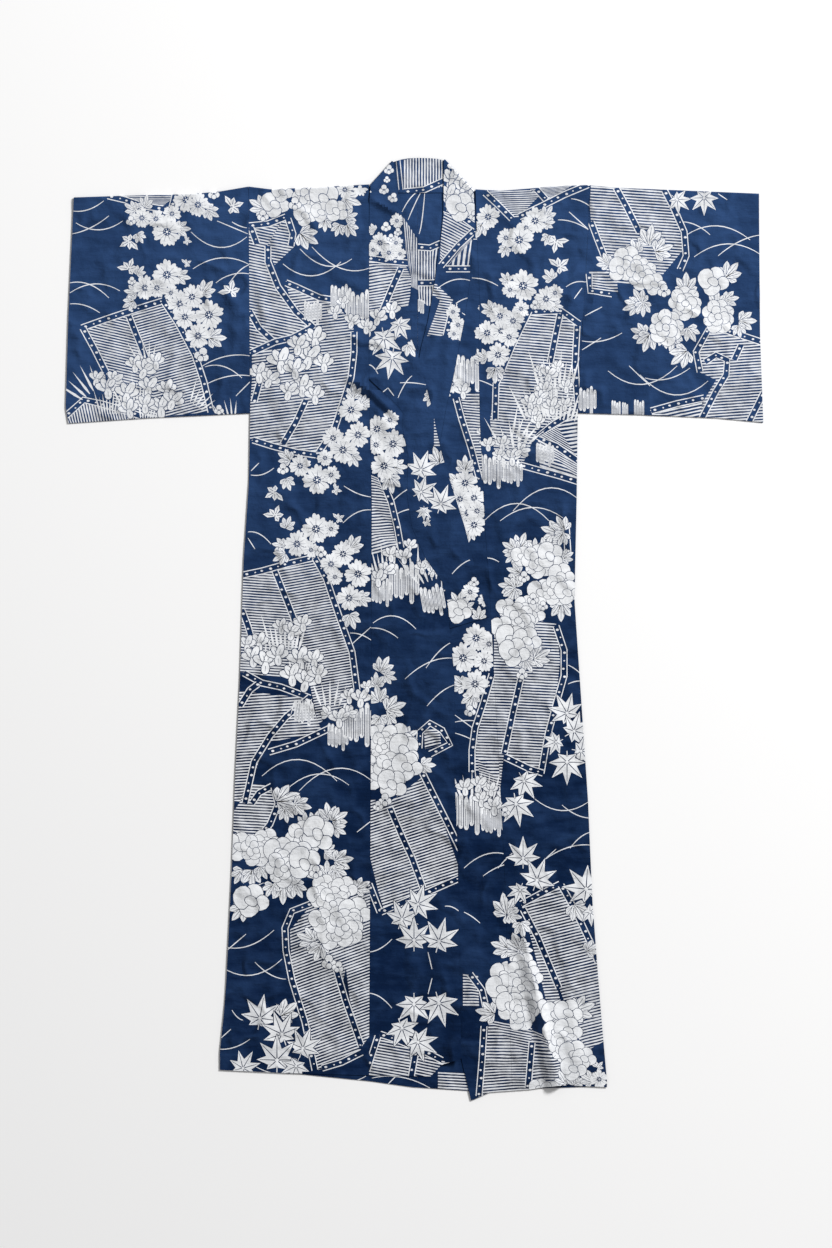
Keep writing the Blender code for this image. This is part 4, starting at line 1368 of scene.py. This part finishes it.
# %% Right okumi
RO_ROWS = dict(
    screens="""
368,474 368,500 368,530 368,556 | 378,478 388,502 393,528 397,548 / 424,730 425,749 |
440,729 441,745 / 366,800 366,840 378,890 384,910 | 392,800 406,840 419,878 424,890 | 18 /
392,800 406,840 424,890 | 421,778 442,818 461,874 | 18 / 380,1034 371,1056 367,1080 |
417,1048 414,1064 410,1082 | -10 / 417,1048 410,1082 | 445,1060 440,1082 | -12""",
    bows="""
404,433,427,440,4 410,449,436,427,3 391,503,413,487,2 395,515,418,509,2 373,623,416,629,10
371,628,398,638,3 430,540,463,543,2 439,553,467,534,3 452,574,472,558,2 405,679,452,658,6
426,668,450,643,3 427,706,454,685,3 368,952,392,939,-3 367,993,392,1008,4 428,952,432,969,0
432,978,428,994,0 424,911,434,909,0 445,906,460,912,2 424,1060,458,1060,-3""",
    borders="""
381,478 391,502 397,526 401,548 / 425,536 438,552 444,572 445,592 / 419,748 420,732 430,723
442,730 450,744 430,754 / 422,772 434,796 448,824 461,851 462,872 / 390,808 401,834 412,858
423,888 / 369,884 380,912 / 381,912 404,902 430,891 462,877 / 380,1034 398,1040 420,1049
442,1060 / 378,1036 367,1070 / 416,1050 411,1078""",
    motifs="""
stakes6 404,582,22 382,592,15 433,600,17,350
reeds 381,575,34,350
blades 418,575,40 428,582,34,340
iris 410,546,8,20 391,555,9 404,557,9 386,571,10,30 378,579,10 422,568,8 433,572,7,20
leaf 400,467,9,90 391,484,11,170 432,560,8,20 384,665,11,30 390,677,8,110 376,680,9
  378,694,11,350 395,707,13,70 389,721,9,170 378,723,9,200 410,735,10,60 428,765,9,90
maple 402,919,17,20 418,904,17,60 414,940,18 439,941,19,15 414,1004,18,180 439,1003,19,165
  402,1028,17,160 418,1042,17,120
mum 390,420,10 377,429,14 376,445,11 393,444,15,10 384,466,15
peony 379,734,9 398,737,13 372,758,12 384,746,16,10 405,750,14,30 376,776,12 391,769,19
  408,766,13 393,784,13,20
bud 385,800,8 378,806,6""")
dress("RO", **RO_ROWS)

# %% Collar, upper right and its diagonal run
dress("RC",
    screens="""
366,262 366,290 366,312 | 404,262 413,282 408,306 / 404,220 406,240 408,262 | 412,224
419,240 420,268 / 434,416 434,446 | 446,416 440,446""",
    bows="""
440,444,463,438,-2 441,452,466,453,-2 443,461,465,448,-2 367,365,378,374,3 376,398,388,388,0
388,388,394,396,0 400,383,426,385,1 398,398,412,376,3 470,560,452,574,2 366,180,367,256,0""",
    borders="367,258 386,261 408,263 / 401,268 392,288 382,312",
    motifs="""
stakes3 362,300,14
iris 392,311,10 378,318,10,20 368,330,9
leaf 371,229,6,300 411,350,9,150 430,400,8,200 437,456,11,340 456,600,10,330 468,606,8,60
  479,613,8
sprig 426,522,6,90
half 366,190,6,200 415,346,8,20
maple 384,338,17,170 399,325,13,150 392,358,17,190 421,470,16,20 421,492,14,60 441,504,16,20
  424,511,8,180
mum 397,221,8 380,243,11 396,243,8 373,250,8,10 389,253,9 400,254,7 430,357,9 438,391,13
  449,384,11,20 470,592,10 485,600,8
peony 459,611,11
bud 389,170,6 384,190,6 393,198,6,20 387,180,4 386,227,6 398,232,5 391,238,5 372,345,7 436,369,6
  474,582,6 484,570,5 484,555,4""")

# %% Collar, upper left
dress("LC",
    screens="""
444,213 441,238 440,259 | 472,228 458,246 443,262 / 446,268 468,269 | 470,238 472,240 /
420,288 440,300 434,318 427,336 | 436,284 453,300 449,318 442,336 | -8,2.6""",
    bows="""
437,289,471,281,5 454,305,468,298,1 468,298,478,304,0 462,313,478,330,2 476,336,458,340,1""",
    borders="""
444,209 458,214 476,227 / 474,231 458,246 441,266 / 446,269 470,269 / 454,303 450,320
446,336""",
    motifs="""
reeds 450,204,46,10 462,204,40,350
iris 452,180,13 463,190,12,30 449,196,12 456,168,9 472,199,10,20
leaf 460,333,9,180
mum 453,312,8 458,325,9 454,334,7
peony 462,207,13
bud 474,216,6""")

# %% Left okumi
LO_ROWS = dict(
    screens="""
460,394 464,412 470,446 479,480 | 484,394 484,414 484,446 484,480 / 494,676 484,706 476,745
475,772 | 506,676 506,706 504,745 506,760 | -2 / 478,758 480,782 | 506,758 506,790 / 463,974
463,1006 | 478,976 479,1006 / 489,1020 485,1060 478,1100 | 532,1028 530,1060 528,1096""",
    bows="""
472,278,500,287,2 478,380,499,396,2 478,392,498,386,1 478,402,500,410,2 485,520,549,521,17
487,554,499,562,1 455,715,478,732,0 455,733,478,743,1 455,722,477,721,1 464,868,513,857,9
483,876,515,863,3 498,868,515,851,1 464,912,480,923,1 468,240,500,246,3""",
    borders="""
456,398 462,420 471,448 480,481 / 492,674 484,701 475,728 472,750 472,772 / 470,974 482,990
486,1008 / 484,1026 482,1060 479,1096 / 532,1042 528,1088""",
    motifs="""
stakes3 458,372,16 488,466,18
stakes6 470,372,20 469,812,23 493,820,17
reeds 490,800,34,10
blades 472,800,38
iris 463,392,9 488,444,9 482,433,6 465,788,10 479,785,10,20 481,800,9 494,807,11 503,797,8,30
  491,790,8
leaf 479,231,9,200 481,356,9,330 465,464,10 452,482,10,280 469,536,8,190 457,684,10,280
  470,702,10,200 505,905,14,350 512,918,9,120 486,1012,12,280 494,985,9,330 501,946,12,290
mum 487,217,13 477,208,11 488,308,11 487,333,14,10 441,391,12 452,384,10,20 465,483,14
  474,498,13,20 460,499,12 468,513,14,10 477,511,11 474,525,13 476,638,15 489,644,11,10
  463,658,16 484,661,12 475,684,15,15
peony 505,974,12 503,989,14 511,1006,13,20
bud 470,711,7""")
dress("LO", **LO_ROWS)

# %% Left front
LB_ROWS = dict(
    screens="""
486,192 510,218 | 545,190 519,217 / 530,190 546,202 | 575,184 552,198 / 530,312 512,350
496,386 490,420 496,464 | 560,312 552,360 545,400 537,430 522,466 | -5 / 560,312 552,360
545,400 537,430 | 578,322 576,364 577,400 578,412 | -5 / 552,418 538,436 | 579,414 579,460 /
538,440 540,468 | 579,462 579,480 / 494,628 494,656 493,682 484,712 476,746 474,780 |
530,630 526,656 521,682 513,712 504,752 500,790 | -2 / 530,618 526,656 521,682 513,712
504,754 | 556,624 560,660 557,690 548,726 538,772 | -3 / 521,905 538,936 560,990 584,1052 |
560,884 582,926 597,962 606,1040 | 14,3.0 / 524,912 534,950 546,1000 552,1040 | 538,937
552,970 562,1006 560,1044 | 4,3.0 / 532,1030 530,1060 528,1092 | 560,1040 560,1060 560,1088
/ 489,1020 485,1060 478,1100 | 532,1028 530,1060 528,1096""",
    bows="""
558,220,590,231,3 569,212,590,231,0 571,199,592,208,2 566,287,588,283,3 574,299,582,288,0
472,278,498,286,2 485,520,549,521,17 500,521,563,518,12 513,511,577,498,16
535,799,588,802,-10 562,805,590,818,-3 544,860,591,845,5 570,848,591,832,3 568,665,582,675,1
568,684,582,681,1 544,860,556,849,0 500,390,478,380,1 487,558,499,562,1 498,868,515,851,1""",
    borders="""
485,193 498,205 512,219 / 536,189 546,200 / 519,217 542,206 564,195 588,185 / 529,311
512,346 496,384 495,420 / 532,312 561,311 579,324 / 560,314 555,338 550,363 / 577,326
575,364 578,410 / 573,413 554,424 536,437 556,446 579,462 / 520,465 538,470 560,476 579,482
/ 566,523 568,556 / 492,674 484,701 475,728 472,770 / 521,677 513,712 504,754 / 556,626
564,650 564,676 556,704 548,734 541,773 / 505,757 530,769 543,773 / 521,904 540,894 560,884
/ 523,909 538,938 559,988 / 561,885 576,912 590,942 598,962 / 532,1042 528,1088""",
    motifs="""
stakes6 546,400,17 492,470,19 513,473,14 545,454,13
reeds 555,390,42 540,418,40,350 560,420,40,5
blades 514,450,40,350 520,440,34,30
iris 540,371,7 549,375,10,20 558,367,7 544,390,9 530,403,10 541,398,9,30 566,387,8 552,407,10
  533,416,9 565,405,8,10 538,422,8 502,444,9 512,458,10 521,451,9,60 488,445,8 499,455,7
  494,806,9
leaf 480,230,9,200 548,213,9,30 549,223,7,80 504,252,7,200 547,240,7,200 549,275,8,320
  505,278,7,320 557,306,7,100 488,308,9,300 482,356,8,300 495,375,10,180 522,542,11,20
  510,547,10,300 511,558,8,230 551,531,12,290 561,524,10,330 561,539,9,200 535,546,9
  548,544,10,20 567,556,8,60 514,571,9,290 514,581,9,340 507,586,10,280 512,595,10,200
  561,611,12,180 541,655,12,60 528,665,9,150 578,912,12,150 505,905,13,350 514,916,9,100
  522,929,10,170 512,946,15,300 525,949,9,100 592,948,9,60 583,1008,14,70 563,1078,10,330
  576,1079,9,20 587,1078,9,300
sprig 556,241,12,150 559,267,12,10 598,1067,7
maple 567,713,17,330 574,731,17,60 556,742,12,250 581,751,15,100 567,762,18,180 524,781,16,150
  516,804,18,170 523,858,17 537,880,18,20 520,890,12,200 586,889,20,320 590,912,12,130
mum 488,217,13 535,221,14 526,228,10,20 519,240,16,5 506,238,10 523,286,17 510,290,9
  546,299,13,10 555,293,9 500,316,12 513,321,12,10 487,333,13 501,331,12,20 509,337,11 521,309,9
  498,355,13 599,1079,10
peony 522,556,9 538,561,18 551,556,12,30 562,575,11 542,592,12 556,590,16,20 568,592,11
  507,608,9 534,614,10 526,605,9 518,620,19 503,628,11 512,640,14,20 528,640,12 515,652,13
  525,963,10 520,972,11 532,976,10 521,987,19 533,1003,13 512,1006,13,10 520,1014,17,20
  557,1014,13 569,1012,12 557,1032,12 569,1030,12 564,1046,17 575,1054,13 585,1058,10
  574,1068,11 540,1088,9 552,1090,9
bud 535,305,6 524,577,7 533,599,7 543,606,6 522,674,7 505,812,6""")
dress("LB", **LB_ROWS)

# %% [markdown]
# ## Inside the neck, and the back
#
# The neck opening shows the inner side of the back and of the collar. Nobody sees the back of
# the robe while it lies here, but a part in a library is turned over sooner or later, so the
# outer side of the back gets a print too, from the same tables.

# %% Inside of the neck and the hem
NECK_ROWS = dict(
    screens="""
401,214 409,226 418,240 | 410,286 414,288 418,290 / 418,247 430,247 444,243 | 418,281
430,281 440,280 / 418,285 428,285 440,284 | 419,300 428,306 440,304""",
    bows="420,191,402,212,4 421,192,408,220,1 425,190,419,234,-8",
    borders="418,247 430,248 444,242 / 418,283 430,283 442,282",
    motifs="""
stakes3 421,306,9,180""")
HEM_ROWS = dict(bows="330,1078,366,1076,-5 372,1078,430,1088,6 388,1084,398,1074,0",
                screens="438,1072 438,1092 | 476,1074 474,1094")
for name in ("NR", "NL"):
    dress(name, **NECK_ROWS)
    dress(name, **HEM_ROWS)
dress("NC", screens="404,160 424,157 446,159 | 404,193 424,191 446,186",
      bows="396,160,399,190,0 400,160,403,190,0",
      borders="404,192 424,190 446,180")
for name, rows, cloth_name in (("RS", RS_ROWS, "right_sleeve"), ("LS", LS_ROWS, "left_sleeve"),
                               ("RB", RB_ROWS, "right_body"), ("RO", RO_ROWS, "right_body"),
                               ("LB", LB_ROWS, "left_body"), ("LO", LO_ROWS, "left_body")):
    if "back " + cloth_name not in SIDES:
        SIDES["back " + cloth_name] = facets_of(cloth_name, "back")
    dress("back " + cloth_name, **rows)

# %% [markdown]
# ## From bits to a mesh
#
# Levels only say what lies over what, so each facet counts its own from one: the print stays
# well under half a millimetre high. A bit knows its facet, so the height and the normal of
# each of its corners come from the facet's own three corners, weighted by how near they are.
# The print borrows the cloth's smooth normals that way and shades exactly like the cloth
# below it.

# %% Build the print meshes
def weights(plan, spot):
    """How much of each corner of its facet every spot holds, for many spots at once."""
    a, b, c = plan[:, 0], plan[:, 1], plan[:, 2]
    whole = np.cross(b - a, c - a)
    second = np.cross(spot - a, c - a) / whole
    third = np.cross(b - a, spot - a) / whole
    return np.column_stack([1.0 - second - third, second, third])


def print_mesh(name, sides):
    """One mesh with every bit of print on one cloth."""
    places, normals, inks, phases, faces = [], [], [], [], []
    start = 0
    for side in sides:
        if not side["bits"]:
            continue
        used = {}
        for facet, _, _, level, _ in side["bits"]:
            used.setdefault(facet, set()).add(level)
        rank = {facet: {level: k + 1 for k, level in enumerate(sorted(levels))}
                for facet, levels in used.items()}
        facet = np.array([bit[0] for bit in side["bits"] for _ in bit[1]])
        spot = np.array([corner for bit in side["bits"] for corner in bit[1]])
        above = np.array([rank[bit[0]][bit[3]] for bit in side["bits"] for _ in bit[1]])
        ink = [bit[2] for bit in side["bits"] for _ in bit[1]]
        turn = np.array([bit[4] for bit in side["bits"] for _ in bit[1]])
        share = weights(side["plan"][facet], spot)[:, :, None]
        place = (side["places"][facet] * share).sum(axis=1)
        normal = (side["normals"][facet] * share).sum(axis=1)
        normal /= np.linalg.norm(normal, axis=1, keepdims=True)
        places.append(place + normal * (above * LIFT)[:, None])
        normals.append(normal)
        inks += ink
        phases.append((spot * turn[:, :2]).sum(axis=1) + turn[:, 2])
        for bit in side["bits"]:
            faces.append(range(start, start + len(bit[1])))
            start += len(bit[1])
    places, normals = np.concatenate(places), np.concatenate(normals)
    mesh = bpy.data.meshes.new("print_" + name)
    mesh.from_pydata(places.tolist(), [], [list(face) for face in faces])
    for attribute, values in (("ink", inks), ("phase", np.concatenate(phases))):
        mesh.attributes.new(attribute, "FLOAT", "POINT").data.foreach_set(
            "value", np.array(values, dtype=np.float32))
    mesh.shade_smooth()
    mesh.normals_split_custom_set_from_vertices(normals.tolist())
    piece = bpy.data.objects.new("print_" + name, mesh)
    bpy.context.scene.collection.objects.link(piece)
    mesh.materials.append(collar_cotton if name == "collar" else yukata_cotton)
    triangles = sum(len(face) - 2 for face in faces)
    print(piece.name, "has", triangles, "triangles")
    return piece


for name, made in cloths.items():
    made["print"] = [print_mesh(name, [s for s in SIDES.values() if s["name"] == name])]

# %% [markdown]
# ## Which solid each sheet stands for
#
# Every sheet takes the place of its CAD panel, which is hidden, and rides on the one body of
# the object. Its print goes with it. The table gives each sheet with the size it was cut to
# and its area.

CUTS = [
    ("right_body", (0.36, 3.32), 0.98), ("left_body", (0.36, 3.36), 0.98),
    ("right_sleeve", (0.335, 0.85), None), ("left_sleeve", (0.335, 0.85), None),
    ("right_okumi", (0.175, 1.31), 0.185), ("left_okumi", (0.18, 1.60), 0.20),
    ("collar", (0.068, 1.85), None),
]
for name, flat, area in CUTS:
    piece = cloths[name]["piece"]
    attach(piece, "root")
    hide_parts(name)
    for part in cloths[name]["print"]:
        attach(part, "root")
print(len(CUTS), "sheets declared")

# %% [markdown]
# ## Table, light and camera
#
# The robe is seen from straight above through a long lens, as on a copy stand, so its sides
# hardly lean. A pale table fills the frame. A large soft lamp overhead, a little to the right
# and towards the collar, gives each ridge a faint shadow on its left side, and a broad pale
# sky fills the rest.

# %% Floor
bpy.ops.object.select_all(action="DESELECT")
bpy.ops.mesh.primitive_plane_add(size=12.0, location=(0, 0, -0.0005))
floor = bpy.context.object
floor.name = "floor"
floor_material = bpy.data.materials.new("pale table")
floor_material.use_nodes = True
floor_shader = floor_material.node_tree.nodes["Principled BSDF"]
floor_shader.inputs["Base Color"].default_value = (0.90, 0.90, 0.905, 1.0)
floor_shader.inputs["Roughness"].default_value = 0.9
floor.data.materials.append(floor_material)

# %% Lights
def soft_lamp(name, place, aim, width, watts):
    """A square area lamp at a place, turned to face its aim."""
    lamp = bpy.data.lights.new(name, "AREA")
    lamp.shape = "SQUARE"
    lamp.size = width
    lamp.energy = watts
    lamp.color = (1.0, 0.995, 0.985)
    holder = bpy.data.objects.new(name, lamp)
    holder.location = place
    way = Vector(aim) - Vector(place)
    holder.rotation_euler = way.to_track_quat("-Z", "Y").to_euler()
    bpy.context.scene.collection.objects.link(holder)


soft_lamp("window", (5.5, 5.0, 6.5), (0, 0, 0), 2.2, 1040)
world = bpy.data.worlds.new("pale room")
world.use_nodes = True
world.node_tree.nodes["Background"].inputs["Color"].default_value = (1, 1, 1, 1)
world.node_tree.nodes["Background"].inputs["Strength"].default_value = 0.36
bpy.context.scene.world = world
bpy.context.scene.view_settings.view_transform = "Standard"

# %% Camera
CAMERA_ABOVE = 8.0
FRAME_HIGH = 1248 * 0.00185
lens_view = bpy.data.cameras.new("copy stand")
lens_view.sensor_fit = "VERTICAL"
lens_view.sensor_height = 24.0
lens_view.lens = 24.0 * CAMERA_ABOVE / FRAME_HIGH
lens_view.clip_end = 100.0
camera = bpy.data.objects.new("copy stand", lens_view)
camera.location = (1.5 * 0.00185, 5.0 * 0.00185, CAMERA_ABOVE)
bpy.context.scene.collection.objects.link(camera)
bpy.context.scene.camera = camera
